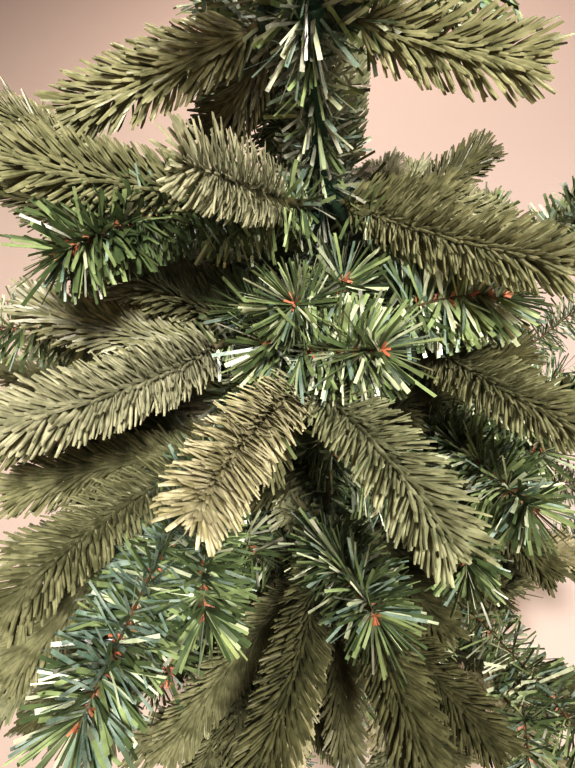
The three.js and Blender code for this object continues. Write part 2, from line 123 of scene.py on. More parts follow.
def ramp(tree, factor, stops):
    """The colours between two stops, each a place from 0 to 1 and an sRGB hex colour."""
    node = add(tree, "ValToRGB", links={"Fac": factor})
    for element, (place, hex_colour) in zip(node.color_ramp.elements, stops):
        element.position = place
        element.color = linear(hex_colour)
    return node.outputs["Color"]


def finish(name, stops, patches, relief, roughness, roughened_by, bump, settings):
    """A finish of two tints under a fine relief.

    `patches` and `relief` are noises, each with its scale and detail. `roughness` is the least
    and the most of it, and `roughened_by` names the noise that drives it. `bump` is the strength
    of the relief and its height in metres.
    """
    material, tree = start_material(name)
    place = add(tree, "TexCoord").outputs["Object"]
    noises = {}
    for noise, (scale, detail) in {"patches": patches, "relief": relief}.items():
        node = add(tree, "TexNoise", {"Scale": scale, "Detail": detail}, {"Vector": place})
        noises[noise] = node.outputs["Fac"]
    rough = add(tree, "MapRange", {"To Min": roughness[0], "To Max": roughness[1]},
                {"Value": noises[roughened_by]})
    pebbles = add(tree, "Bump", {"Strength": bump[0], "Distance": bump[1]}, {"Height": noises["relief"]})
    finish_material(tree, add(tree, "BsdfPrincipled", settings, {
        "Base Color": ramp(tree, noises["patches"], stops), "Roughness": rough.outputs["Result"],
        "Normal": pebbles.outputs["Normal"]}))
    return material


# %% [markdown]
# ### Moulded polyethylene
# The olive tips are injection moulded from polyethylene, with a fine spark-eroded texture from
# the mould. It is soft and waxy: highlights are broad and dull, and the colour wanders a little
# along a tip because the pigment isn't mixed evenly. Its IOR is about 1.51. The mottling is
# about 9 mm across, and the mould's grain, really 0.05 mm, is drawn at 0.5 mm so that it shows.

# %% Moulded polyethylene
MOTTLE_MM = 9.0
MOULD_GRAIN_MM = 0.5
RELIEF_HEIGHT = 0.0002


def moulded_polyethylene(tint, dark, light):
    return finish("moulded_polyethylene_" + tint, stops=((0.35, dark), (0.68, light)),
                  patches=(1 / (MOTTLE_MM * MM), 2.0), relief=(1 / (MOULD_GRAIN_MM * MM), 1.0),
                  roughness=(0.34, 0.52), roughened_by="relief", bump=(0.25, RELIEF_HEIGHT),
                  settings={"IOR": 1.51})


# The dark tint is partly a darker moulding, dealt out among the tips, and partly painted shade where the
# known sprays and seen twigs set it on tips that lie in shade.
MOULDED_TINTS = {
    "olive": moulded_polyethylene("olive", 0x65684a, 0x929472),
    "pale": moulded_polyethylene("pale", 0x888b70, 0xb2b396),
    "yellow": moulded_polyethylene("yellow", 0x94926f, 0xc3c0a2),
    "sage": moulded_polyethylene("sage", 0x6c7154, 0x9a9e7e),
    "dark": moulded_polyethylene("dark", 0x4a4c33, 0x6a6b4b),
}

# %% [markdown]
# ### PVC film
# The green tips are strips cut from calendered PVC film. Calendering leaves the film smooth, so
# each flat strip throws a small bright glint when it faces the light, while its neighbour stays
# deep green. This light and shade is painted into tints that are dealt strip by strip: the deep
# tint is the film's deep green with painted shade, the bright tint a painted highlight, and the
# bluish tint, the glossiest, a painted reflection of cool light. Most strips are a grey-green
# between deep and bright. The film on the pole is largely a greyer green, and the short bits at
# the wires are orange-brown. IOR about 1.54, roughness low. Faint draw marks run through the
# film, really some 0.1 mm apart and drawn here at 0.8 mm.

# %% PVC film
DRAW_MARK_MM = 0.8
FILM_CLOUD_MM = 14.0


def pvc_film(tint, dark, light, roughness=0.32):
    return finish("pvc_film_" + tint, stops=((0.35, dark), (0.7, light)),
                  patches=(1 / (FILM_CLOUD_MM * MM), 3.0), relief=(1 / (DRAW_MARK_MM * MM), 0.0),
                  roughness=(roughness - 0.06, roughness + 0.1), roughened_by="relief",
                  bump=(0.15, RELIEF_HEIGHT), settings={"IOR": 1.54})


# The deep tint is the film's deep green with painted shade, bright is a painted highlight and blue a painted
# reflection of cool light; middle is the film's grey-green.
FILM_TINTS = {
    "deep": pvc_film("deep_green", 0x435338, 0x62724b),
    "middle": pvc_film("middle_green", 0x6f7e57, 0x97a97a),
    "bright": pvc_film("bright_green", 0xa9b495, 0xced5bb),
    "blue": pvc_film("blue_green", 0x637a6a, 0x9cad9f, 0.24),
    "greyer": pvc_film("greyer_green", 0x686c5e, 0xa3a797),
    "brown": pvc_film("orange_brown", 0xa86c50, 0xc99478, 0.4),
}

# %% [markdown]
# ### Twigs, wire and steel
# A moulded tip's own twig is the same polyethylene with a browner pigment. The boughs are iron
# wire wound with brown-green tape. Pole and stand are powder-coated steel: a thick, slightly
# pebbled paint with a soft sheen, whose pebbles are about 1.5 mm apart. The sockets are moulded
# from polypropylene. The screw is zinc-plated steel, which is a metal, so it keeps the default
# IOR. The feet are moulded rubber.

# %% Twigs, wire and steel
PATCH_OF_SPOT = 0.15


def matt_solid(name, dark, light, spot_mm, roughness, ior, bump_mm, metallic=0.0):
    """A finish whose colour wanders between two values, with an even relief of small pebbles."""
    return finish(name, stops=((0.3, dark), (0.7, light)), patches=(PATCH_OF_SPOT / (spot_mm * MM), 4.0),
                  relief=(1 / (spot_mm * MM), 2.0), roughness=(roughness - 0.07, roughness + 0.09),
                  roughened_by="patches", bump=(0.35, bump_mm * MM),
                  settings={"Metallic": metallic} if metallic else {"IOR": ior})


TWIG = matt_solid("moulded_polyethylene_twig", 0x5a5742, 0x7f7a5e, 1.2, 0.55, 1.51, 0.2)
TAPED_WIRE = matt_solid("taped_iron_wire", 0x3c3a26, 0x5c5636, 1.0, 0.6, 1.5, 0.3)
COATED_STEEL = matt_solid("powder_coated_steel", 0x22402c, 0x2f5039, 1.5, 0.42, 1.5, 0.12)
SOCKET_PLASTIC = matt_solid("moulded_polypropylene", 0x1d2f22, 0x2b4230, 0.8, 0.5, 1.49, 0.1)
RUBBER = matt_solid("moulded_rubber", 0x161718, 0x242526, 0.9, 0.75, 1.52, 0.15)
ZINC = matt_solid("zinc_plated_steel", 0x8c9196, 0xb4b8bb, 0.6, 0.3, 1.5, 0.05, 1.0)
print("finishes:", len(MOULDED_TINTS) + len(FILM_TINTS), "of needles and 6 more")

# %% [markdown]
# ## The rule that grows the boughs
# The solids came from a rule: whorls with a height, a reach and a rise, sprays whose place is
# known, and pairs of further sprays drawn from a seeded stream. The same rule is written again
# here, in millimetres, so that each tip of needles grows where its solid is. The stream and the
# order of its draws must be the same, or the crown would be a different one.
#
# A drawn spray is left out when it finds no room beside its neighbours, when it would close a
# gap that the photograph sees through, or when it would stand in front of a known spray.

# %% Driving dimensions of the tree, in millimetres and degrees
CLEARANCE = 0.3
TREE_HEIGHT = 1550
POLE_RADIUS = 16
POLE_SLEEVE = {"height": 780, "length": 46, "radius": 18.5}
POLE_UPPER_RADIUS = 11
POLE_TOP_RADIUS = 6
POLE_TOP = 1376
COLLAR_DEPTH = 5
COLLAR_HEIGHT = 14

WHORLS = [
    {"height": 1358, "reach": 138, "rise": 8, "sprays": 3, "bearings": [-174, 143, 100, 48, -24]},
    {"height": 1237, "reach": 204, "rise": 24, "sprays": 5, "bearings": [-152, -106, -50, 5, 98]},
    {"height": 1125, "reach": 300, "rise": 32, "sprays": 7, "bearings": [-128, -88, -48, 30, 96, 164]},
    {"height": 1000, "reach": 385, "rise": 31, "sprays": 8, "bearings": [-125, -87, -46, 12, 82, 148, -170]},
    {"height": 860, "reach": 440, "rise": 29, "sprays": 8, "bearings": [-138, -87, -36, 25, 88, 151]},
    {"height": 705, "reach": 495, "rise": 24, "sprays": 8, "bearings": [-112, -60, -6, 38, 95, 170]},
    {"height": 540, "reach": 545, "rise": 18, "sprays": 9, "bearings": [-140, -83, -28, 30, 90, 150]},
    {"height": 370, "reach": 575, "rise": 11, "sprays": 9, "bearings": [-112, -55, 2, 60, 120, 178]},
]

# %% [markdown]
# The known sprays were read off the photograph as bearing, rise and reach from their whorl's
# centre. Each row is whorl, bough, bearing, rise, reach, length, kind, and the tint it shows. A
# moulded tint was matched to how bright the tip looks, so it carries part of the light and shade
# on it: dark is painted shade on tips that lie in shade. For film the tint is how the spray is
# lit, which decides how often painted shade and painted highlight come among its strips.

# %% Sprays whose place is known
MOULDED, FILM = "moulded", "film"
KNOWN_SPRAYS = [
    (1, 1, -173, -12, 143, 120, MOULDED, "olive"),
    (1, 2, 162, -49, 119, 96, MOULDED, "dark"),
    (1, 5, -26, -2, 115, 98, MOULDED, "olive"),
    (2, 1, -155, 34, 209, 150, MOULDED, "olive"),
    (2, 1, -142, 23, 202, 130, FILM, "shaded"),
    (2, 2, -117, 47, 187, 100, MOULDED, "pale"),
    (2, 3, -49, 22, 192, 150, MOULDED, "olive"),
    (2, 4, 5, -30, 195, 140, MOULDED, "olive"),
    (3, 1, -126, 38, 318, 150, MOULDED, "pale"),
    (3, 1, -136, 26, 300, 150, MOULDED, "olive"),
    (3, 2, -102, 39, 333, 140, MOULDED, "yellow"),
    (3, 2, -80, 32, 313, 140, MOULDED, "sage"),
    (3, 2, -99, 52, 201, 120, FILM, "lit"),
    (3, 2, -77, 44, 223, 95, FILM, "lit"),
    (3, 3, -56, 27, 258, 140, MOULDED, "olive"),
    (3, 3, -35, 34, 184, 95, FILM, None),
    (3, 4, 37, 9, 194, 130, MOULDED, "dark"),
    (4, 1, -120, 40, 418, 160, MOULDED, "olive"),
    (4, 1, -112, 33, 430, 150, FILM, "frosted"),
    (4, 1, -124, 26, 405, 150, MOULDED, "olive"),
    (4, 1, -106, 31, 345, 120, FILM, "shaded"),
    (4, 1, -139, 32, 346, 150, MOULDED, "olive"),
    (4, 2, -99, 26, 398, 150, MOULDED, "dark"),
    (4, 2, -86, 34, 342, 120, FILM, None),
    (4, 2, -101, 32, 300, 100, FILM, None),
    (4, 2, -84, 26, 392, 150, MOULDED, "dark"),
    (4, 3, -59, 31, 300, 120, FILM, None),
    (4, 3, -24, 34, 213, 110, MOULDED, "dark"),
    (5, 1, -130, 36, 452, 160, MOULDED, "sage"),
    (5, 1, -126, 25, 462, 160, MOULDED, "dark"),
    (5, 2, -98, 32, 424, 160, MOULDED, "yellow"),
    (5, 2, -75, 34, 438, 160, MOULDED, "dark"),
    (5, 2, -112, 26, 427, 160, MOULDED, "olive"),
    (5, 3, -34, 36, 293, 120, FILM, None),
    (5, 3, -53, 27, 332, 150, MOULDED, "dark"),
    (6, 1, -112, 24, 495, 188, MOULDED, "olive"),
    (6, 1, -92, 24, 407, 180, MOULDED, "dark"),
]
LEADER = {"sprays": 5, "reach": 96, "rise": 34, "stem_share": 0.36, "bearing": 20, "step": 7}

# %% Dimensions of sprays and stems
HALF_WIDTH = {MOULDED: 25, FILM: 22}
SPRAY_LENGTH = 150
LOW_SPRAY_GROWTH = 1.4
LOW_LIFT_GROWTH = 1.9
SMALLEST_SIZE = 0.8
SPRAY_CORE = 2.2
STEM_ROOT_RADIUS = 4.2
STEM_END_RADIUS = 2.6
STEM_STEPS = 3
SPRAY_GAP = 1.5
SPRAY_ROOM = 0.88
LEAVE = {"first": 0.97, "step": 0.23, "play": 0.1, "least": 0.2}
TURN = {"first": 28, "step": 9, "play": 10, "more": 5}
LIFTS = [-20, 10, 34, -4, 22]
LIFT = {"play": 24, "more": 8}
LENGTH = {"least": 0.88, "play": 0.2, "shrink": 0.05}
SPRAY_TRIES = 9
SEED = 20
LONGEST_SHARE = 0.8
END_SPRAY_SHARE = 0.94
BEND = {"out": 0.4, "up": 0.25}
LEAVING = {"first": 0.2, "step": 0.02}
EYE = np.array(CAMERA_PLACE) / MM
SIGHT_LENGTH = 1700
OPEN_SIGHTS = [(115, -29, 4), (108, -28, 2.3), (109, -37, 1.4), (118, -32, 1), (101, -41, 1.5),
               (84, -38, 2.1), (78, -39, 1.8), (69, -40, 2.2), (63, -42, 2.4), (63, -37, 2.3),
               (54, -53, 2.3), (37, -64, 1.8), (11, -72, 1.5)]
SHOWN_SHARES = (0.35, 0.65, 0.95)
SHOWN_DEPTH = 0.92

# %% [markdown]
# Lines and distances. A bough's line is a quadratic curve: it leaves the collar level, bends up
# and ends at the tip of its end spray. The test for room is the shortest distance between two
# straight stretches, worked out for one spray against all the others at once.

# %% Lines and distances
STREAM = {"times": 1664525, "plus": 1013904223, "span": 2 ** 32}
NEARLY_PARALLEL = 1e-9


def even_stream(seed):
    """Even numbers from 0 to 1 that are the same on every run."""
    state = seed
    while True:
        state = (state * STREAM["times"] + STREAM["plus"]) % STREAM["span"]
        yield state / STREAM["span"]


def polar(height, bearing, rise, reach):
    """The point `reach` away from a whorl's centre, at a bearing and a rise in degrees."""
    level = reach * cos(radians(rise))
    return np.array([level * cos(radians(bearing)), level * sin(radians(bearing)),
                     height + reach * sin(radians(rise))])


def pole_radius(height):
    if height < POLE_SLEEVE["height"]:
        return POLE_RADIUS
    share = (height - POLE_SLEEVE["height"]) / (POLE_TOP - POLE_SLEEVE["height"])
    return POLE_UPPER_RADIUS + share * (POLE_TOP_RADIUS - POLE_UPPER_RADIUS)


def curve_point(line, share):
    root, bend, end = line
    return (1 - share) ** 2 * root + 2 * share * (1 - share) * bend + share ** 2 * end


def curve_way(line, share, step=0.0001):
    """The direction of a line at a share of it."""
    way = curve_point(line, min(1, share + step)) - curve_point(line, max(0, share - step))
    return way / np.linalg.norm(way)


def angles_of(way):
    """The bearing and the rise of a direction, in radians."""
    return atan2(way[1], way[0]), atan2(way[2], hypot(way[0], way[1]))


def heading(bearing, rise):
    """The direction with a bearing and a rise in radians."""
    return np.array([cos(bearing) * cos(rise), sin(bearing) * cos(rise), sin(rise)])


def make_line(height, bearing, end_bearing, rise, reach):
    root = polar(height, bearing, 0, pole_radius(height) + COLLAR_DEPTH + CLEARANCE)
    end = polar(height, end_bearing, rise, reach)
    bend = polar(height, bearing, 0, BEND["out"] * reach * cos(radians(rise)))
    bend[2] = root[2] + BEND["up"] * (end[2] - root[2])
    return root, bend, end


def stretch_distances(root, end, roots, ends):
    """The shortest distances between one straight stretch and many."""
    u, v, w = end - root, ends - roots, root - roots
    uu, uv, vv = u @ u, v @ u, np.einsum("ij,ij->i", v, v)
    uw, vw = w @ u, np.einsum("ij,ij->i", v, w)
    spread = uu * vv - uv * uv
    apart = spread > NEARLY_PARALLEL
    s = np.clip(np.where(apart, (uv * vw - vv * uw) / np.where(apart, spread, 1.0), 0.0), 0, 1)
    t = np.clip((uv * s + vw) / vv, 0, 1)
    s = np.clip((uv * t - uw) / uu, 0, 1)
    return np.linalg.norm(w + s[:, None] * u - t[:, None] * v, axis=1)


# %% [markdown]
# Now the boughs. Every bough keeps its line, the share of it that is bare stem, and its sprays.
# A spray is a small dictionary: root, end, kind, size, and how it came to be there.

# %% Plan the boughs
def grown_below(whorl, most):
    """A value that is 1 in the top whorl and grows evenly to `most` in the lowest."""
    share = (WHORLS[0]["height"] - whorl["height"]) / (WHORLS[0]["height"] - WHORLS[-1]["height"])
    return 1 + (most - 1) * share


def plan_boughs():
    boughs = []
    for level, whorl in enumerate(WHORLS):
        for place, bearing in enumerate(whorl["bearings"]):
            known = [row for row in KNOWN_SPRAYS if row[:2] == (level + 1, place + 1)]
            usual = SPRAY_LENGTH * grown_below(whorl, LOW_SPRAY_GROWTH)
            ruled = (bearing, whorl["rise"], whorl["reach"], min(usual, LONGEST_SHARE * whorl["reach"]),
                     MOULDED if (level + place) % 3 else FILM, None)
            end_bearing, rise, reach, length, kind, tint = known[0][2:] if known else ruled
            boughs.append({
                "name": f"bough_{level + 1}_{place + 1}", "level": level, "place": place, "whorl": whorl,
                "line": make_line(whorl["height"], bearing, end_bearing, rise, reach),
                "kind": kind, "tint": tint, "length": min(usual, LONGEST_SHARE * reach),
                "stem_share": 1 - END_SPRAY_SHARE * length / reach, "known": known[1:], "sprays": [],
                "seen": bool(known)})
    return boughs


def plan_leader():
    low, high = np.array([0, 0, POLE_TOP + CLEARANCE]), np.array([0, 0, float(TREE_HEIGHT)])
    leader = {"name": "leader", "level": 0, "place": 0, "whorl": WHORLS[0], "kind": MOULDED, "tint": "olive",
              "line": (low, (low + high) / 2, high), "length": LEADER["reach"],
              "stem_share": LEADER["stem_share"], "known": [], "sprays": [], "seen": True}
    stem_end = curve_point(leader["line"], leader["stem_share"])
    leader["sprays"].append(make_spray(leader, stem_end, high, MOULDED))
    for number in range(LEADER["sprays"]):
        bearing = LEADER["bearing"] + 360 / LEADER["sprays"] * number
        height = POLE_TOP + LEADER["step"] * (3 + number % 3)
        end = polar(height, bearing, LEADER["rise"], LEADER["reach"])
        kind = FILM if number % 2 else MOULDED
        leader["sprays"].append(make_spray(leader, np.array([0, 0, float(height)]), end, kind))
    return leader


def make_spray(bough, root, end, kind, tint=None):
    size = max(SMALLEST_SIZE, bough["length"] / SPRAY_LENGTH)
    return {"root": root, "end": end, "kind": kind, "size": size, "tint": tint, "level": bough["level"],
            "radius": HALF_WIDTH[kind] * size * SPRAY_ROOM, "fine": False, "shown": False}


def spray_off(bough, share, turn_by, lift, length, kind):
    """A spray that turns off the stem by an angle to the side and an angle upwards."""
    root = curve_point(bough["line"], share)
    bearing, rise = angles_of(curve_way(bough["line"], share))
    end = root + length * heading(bearing + radians(turn_by), rise + radians(lift))
    return make_spray(bough, root, end, kind)


def leaving_share(bough, end, length):
    """Where a known spray leaves the stem: where the way to its end is nearest its own length."""
    best, best_miss, share = bough["stem_share"], inf, LEAVING["first"] * bough["stem_share"]
    while share < bough["stem_share"]:
        miss = abs(np.linalg.norm(curve_point(bough["line"], share) - end) - length)
        if miss < best_miss:
            best, best_miss = share, miss
        share += LEAVING["step"]
    return best


# %% Grow the sprays
def stem_stretches(bough):
    shares = [bough["stem_share"] * n / STEM_STEPS for n in range(STEM_STEPS + 1)]
    points = [curve_point(bough["line"], share) for share in shares]
    return [{"root": a, "end": b, "radius": STEM_ROOT_RADIUS} for a, b in zip(points, points[1:])]


def pole_distance(spray, top):
    """How far a spray keeps from the pole's axis, which is counted from the floor to a height."""
    low, high = np.array([[0, 0, 0.0]]), np.array([[0, 0, float(top)]])
    return stretch_distances(spray["root"], spray["end"], low, high)[0]


def is_free(spray, mass, masses):
    """Whether a spray keeps off the pole and off every spray and stem of the other masses."""
    if pole_distance(spray, TREE_HEIGHT) < POLE_SLEEVE["radius"] + 2 * SPRAY_CORE:
        return False
    others = [solid for other in masses if other is not mass
              for solid in other["sprays"] + other["stretches"]]
    roots = np.array([solid["root"] for solid in others])
    ends = np.array([solid["end"] for solid in others])
    room = spray["radius"] + np.array([solid["radius"] for solid in others]) + SPRAY_GAP
    return bool((stretch_distances(spray["root"], spray["end"], roots, ends) > room).all())


def blocks_sight(spray):
    """Whether a spray would cross one of the gaps that the photograph sees through."""
    middle = (spray["root"] + spray["end"]) / 2
    for bearing, rise, half_width in OPEN_SIGHTS:
        end = EYE + polar(0, bearing, rise, SIGHT_LENGTH)
        room = spray["radius"] + np.linalg.norm(middle - EYE) * tan(radians(half_width))
        if stretch_distances(spray["root"], spray["end"], EYE[None], end[None])[0] < room:
            return True
    return False


def hides_known(spray, shown):
    """Whether a spray would stand between the eye and a spray whose place is known."""
    points = np.array([known["root"] + share * (known["end"] - known["root"])
                       for known in shown for share in SHOWN_SHARES])
    rooms = spray["radius"] + np.array([known["radius"] / 2 for known in shown for _ in SHOWN_SHARES])
    ends = EYE + SHOWN_DEPTH * (points - EYE)
    return bool((stretch_distances(spray["root"], spray["end"], EYE[None], ends) < rooms).any())


def grow_ruled(bough, order, masses, shown):
    """The rule's own sprays: pairs that leave the stem further and further in."""
    even = even_stream(SEED * (order + 1))
    for number in range(len(bough["sprays"]), bough["whorl"]["sprays"]):
        side, pair = (1 if number % 2 else -1), (number - 1) // 2
        kind = FILM if (number + bough["place"]) % 2 else MOULDED
        for attempt in range(SPRAY_TRIES):
            leave = max(LEAVE["least"], LEAVE["first"] - LEAVE["step"] * pair - LEAVE["play"] * next(even))
            turn_by = side * (TURN["first"] + TURN["step"] * pair
                              + (TURN["play"] + TURN["more"] * attempt) * next(even))
            lift = (LIFTS[number % len(LIFTS)] * grown_below(bough["whorl"], LOW_LIFT_GROWTH)
                    + (next(even) - 0.5) * (LIFT["play"] + LIFT["more"] * attempt))
            shrink = 1 - LENGTH["shrink"] * attempt
            length = bough["length"] * shrink * (LENGTH["least"] + LENGTH["play"] * next(even))
            spray = spray_off(bough, bough["stem_share"] * leave, turn_by, lift, length, kind)
            if is_free(spray, bough, masses) and not blocks_sight(spray) and not hides_known(spray, shown):
                bough["sprays"].append(spray)
                break


def grow_sprays(boughs, leader):
    masses = boughs + [leader]
    for mass in masses:
        mass["stretches"] = stem_stretches(mass)
    for bough in boughs:
        root = curve_point(bough["line"], bough["stem_share"])
        bough["sprays"].append(make_spray(bough, root, bough["line"][2], bough["kind"], bough["tint"]))
        bough["sprays"][0]["shown"] = bough["seen"]
    for bough in boughs:
        for _, _, bearing, rise, reach, length, kind, tint in bough["known"]:
            end = polar(bough["whorl"]["height"], bearing, rise, reach)
            root = curve_point(bough["line"], leaving_share(bough, end, length))
            spray = make_spray(bough, root, end, kind, tint)
            spray["shown"] = True
            if is_free(spray, bough, masses):
                bough["sprays"].append(spray)
    shown = [spray for bough in boughs for spray in bough["sprays"] if spray["shown"]]
    for order, bough in enumerate(boughs):
        grow_ruled(bough, order, masses, shown)
    return shown


leader = plan_leader()
boughs = plan_boughs()
known_sprays = grow_sprays(boughs, leader)
print("sprays of the solids:", sum(len(mass["sprays"]) for mass in boughs + [leader]))

# %% [markdown]
# A check against the frame: every spray's end must lie in its own solid's box. If the stream or
# the order of its draws had slipped, the ends would land elsewhere.

# %% Check the sprays against the frame
def box_miss(mass):
    low, high = (np.array(corner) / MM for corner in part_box(mass["name"]))
    ends = np.array([spray["end"] for spray in mass["sprays"]])
    outside = np.maximum(np.maximum(low - ends, ends - high), 0).max()
    reach_gap = np.abs(np.concatenate([ends.max(0) - high, low - ends.min(0)])).max()
    return outside, reach_gap


misses = np.array([box_miss(mass) for mass in boughs + [leader]])
print("ends outside their solid's box: %.3f mm at most, widest margin %.1f mm" % tuple(misses.max(0)))

# %% [markdown]
# ## Finer twigs
# The solids stop at one blade for each tip. A real bough carries more: short tips fill the room
# under each bough and near the pole, and the long tips of the low boughs fork. These grow on by
# the same rule from the same limbs, and stay within the reach that the solids give. They too
# leave the photograph's gaps open and the known sprays in view.
#
# `SEEN_TWIGS` are finer twigs whose place was read off the photograph, in rows like those of the
# known sprays. `CROSSING_SHOOTS` are two film shoots that cross the picture: each has the
# bearing, rise and reach of its root, then those of its end. Their strips are combed to two sides.

# %% Grow the finer twigs
INNER_SPRAYS = [0, 1, 2, 4, 7, 9, 10, 10]
INNER = {"share": (0.25, 0.7), "turn": (18, 62), "hang": (-18, -52), "fill": (-60, 120),
         "length": (0.5, 0.25), "film": 0.55}
FORK_FROM_LEVEL = 4
FORK_PLACES = [(0.22, 1), (0.34, -1)]
FORK = {"play": 0.06, "turn": (30, 14), "lift": (-12, 24), "length": (0.5, 0.12)}
FINER_SEED = 7
# The tints of these rows paint light and shade as those of the known sprays do.
SEEN_TWIGS = [
    (2, 3, -37, 21, 103, 81, MOULDED, "olive"),
    (3, 1, -124, 47, 148, 70, FILM, "shaded"),
    (4, 3, -72, 20, 287, 151, FILM, "shaded"),
    (3, 1, -164, 24, 244, 146, MOULDED, "olive"),
    (3, 2, -110, 44, 183, 63, FILM, "lit"),
    (3, 2, -88, 35, 198, 60, FILM, "lit"),
    (3, 2, -81, 59, 150, 79, FILM, "lit"),
    (3, 3, -44, 47, 133, 62, FILM, None),
    (4, 1, -150, 29, 316, 166, MOULDED, "dark"),
    (5, 1, -141, 36, 417, 166, MOULDED, "olive"),
    (5, 1, -132, 20, 469, 230, MOULDED, "sage"),
    (5, 1, -120, 19, 445, 210, MOULDED, "dark"),
    (5, 1, -125, 17, 440, 210, FILM, "shaded"),
    (5, 1, -114, 29, 398, 180, FILM, "shaded"),
    (5, 2, -91, 16, 388, 180, MOULDED, "dark"),
]
CROSSING_SHOOTS = [
    (3, 2, (-99, 42, 177), (-76, 43, 208), FILM, "lit"),
    (3, 3, (-66, 44, 150), (-44, 39, 198), FILM, "lit"),
]


def drawn(even, start, span):
    """The stream's next number, spread over a span from its start."""
    return start + span * next(even)


def inner_spray(bough, number, even):
    """A short spray on the inner part of a stem. It hangs under the upper boughs, and fills
    the room above and below the lower ones."""
    hang = bough["level"] < FORK_FROM_LEVEL
    share = bough["stem_share"] * drawn(even, *INNER["share"])
    side = 1 if number % 2 else -1
    turn_by = side * drawn(even, *INNER["turn"])
    lift = drawn(even, *INNER["hang" if hang else "fill"])
    length = bough["length"] * drawn(even, *INNER["length"])
    kind = FILM if next(even) < INNER["film"] else MOULDED
    return spray_off(bough, share, turn_by, lift, length, kind)


def forks_of(spray, even):
    """Two side twigs that leave a long spray at a narrow angle."""
    way = spray["end"] - spray["root"]
    length = np.linalg.norm(way)
    way_bearing, way_rise = angles_of(way)
    for share, side in FORK_PLACES:
        root = spray["root"] + way * drawn(even, share, FORK["play"])
        bearing = way_bearing + side * radians(drawn(even, *FORK["turn"]))
        rise = way_rise + radians(drawn(even, *FORK["lift"]))
        end = root + length * drawn(even, *FORK["length"]) * heading(bearing, rise)
        yield dict(spray, root=root, end=end, shown=False)


def bough_at(boughs, level, place):
    """The bough that the tables call by the number of its whorl and its own in it."""
    return next(bough for bough in boughs if (bough["level"] + 1, bough["place"] + 1) == (level, place))


def seen_twigs(boughs):
    """The finer twigs whose place was read off the photograph."""
    for level, place, root, end, kind, tint in CROSSING_SHOOTS:
        bough = bough_at(boughs, level, place)
        height = bough["whorl"]["height"]
        crossing = make_spray(bough, polar(height, *root), polar(height, *end), kind, tint)
        yield dict(crossing, shown=True, combed=True)
    for level, place, bearing, rise, reach, length, kind, tint in SEEN_TWIGS:
        bough = bough_at(boughs, level, place)
        end = polar(bough["whorl"]["height"], bearing, rise, reach)
        root = curve_point(bough["line"], leaving_share(bough, end, length))
        yield dict(make_spray(bough, root, end, kind, tint), shown=True)


def grow_finer(boughs):
    for order, bough in enumerate(boughs):
        even = even_stream(SEED * (order + 1) + FINER_SEED)
        twigs = [inner_spray(bough, n, even) for n in range(INNER_SPRAYS[bough["level"]])]
        if bough["level"] >= FORK_FROM_LEVEL:
            twigs += [fork for spray in bough["sprays"] for fork in forks_of(spray, even)]
        bough["finer"] = [twig for twig in twigs
                          if pole_distance(twig, POLE_TOP) > POLE_RADIUS
                          and not blocks_sight(twig) and not hides_known(twig, known_sprays)]


grow_finer(boughs)
seen = list(seen_twigs(boughs))
print("finer twigs:", sum(len(bough["finer"]) for bough in boughs) + len(seen))

# %% [markdown]
# ## Needles
# The needles are far too many to be separate objects, and the export drops particles, so each
# kind of needle is worked out as arrays: one row a needle, with its root, its way, the way its
# flat face looks, its bend, its length and its width. `blades` turns the rows into quads in one
# go. A moulded needle near the top has a fold along its middle, which gives it a lit and a
# shaded half; further down a flat needle does, and film strips are flat everywhere.

# %% Blades from rows of needles
FOLDED = {"rows": [(0, 0.6), (0.35, 1.0), (0.88, 0.95), (1, 0.6)], "fold": 0.5}
FLAT = {"rows": [(0, 0.6), (0.4, 1.0), (0.88, 0.95), (1, 0.6)], "fold": None}
PLAIN = {"rows": [(0, 0.6), (0.6, 1.0), (1, 0.6)], "fold": None}
STRIP = {"rows": [(0, 0.75), (0.5, 1.0), (1, 1.0)], "fold": None}
BIT = {"rows": [(0, 0.6), (1, 1.0)], "fold": None}


def unit(rows):
    return rows / np.linalg.norm(rows, axis=-1, keepdims=True)


def blades(form, needles):
    """Points and quads of many needles of one form."""
    root, way, face, bend, length, width = needles
    share = np.array([row[0] for row in form["rows"]])[None, :, None]
    wide = np.array([row[1] for row in form["rows"]])[None, :, None]
    across = unit(np.cross(face, way))[:, None]
    middle = root[:, None] + (way[:, None] * share + bend[:, None] * share ** 2) * length[:, None, None]
    half = 0.5 * width[:, None, None] * wide
    columns = [middle - across * half, middle + across * half]
    if form["fold"]:
        columns.insert(1, middle + face[:, None] * half * form["fold"])
    points = np.stack(columns, axis=2)
    count, rows, cols = points.shape[:3]
    cell = np.array([[r * cols + c, r * cols + c + 1, (r + 1) * cols + c + 1, (r + 1) * cols + c]
                     for r in range(rows - 1) for c in range(cols - 1)])
    quads = cell[None] + (np.arange(count) * rows * cols)[:, None, None]
    return points.reshape(-1, 3), quads.reshape(-1, 4)


# %% [markdown]
# Where the needles stand on a tip. The tip's twig is the straight line of its solid with a
# slight bow. On a moulded tip they stand in rows, as the mould sets them: a double row on each
# side, two more above it, one that leans over the twig and hides it, and a loose one below.
# They leave the twig steeply and curve forward, and a tuft closes the end. On a film tip the
# strips come in bundles, one for each turn of the wire, cut square, with a puff of short
# orange-brown bits every 9 mm or so where the film is twisted in. A tip that the photograph
# shows is rolled so that its upper side looks at the eye.

# %% A tip's line and its frame
BOW = {"share": 0.05, "up": (-0.6, 1.0), "side": (-1, 1)}
ROLL = {"play": 0.45, "kept": 0.4, "facing": 0.7}
STEEP = 0.9
CORES = {
    MOULDED: {"pile": "twigs", "short": 12.0, "radii": (1.7, 0.7), "rings": 7, "sides": 5},
    FILM: {"pile": "wires", "short": 16.0, "radii": (1.0, 1.0), "rings": 6, "sides": 4},
}


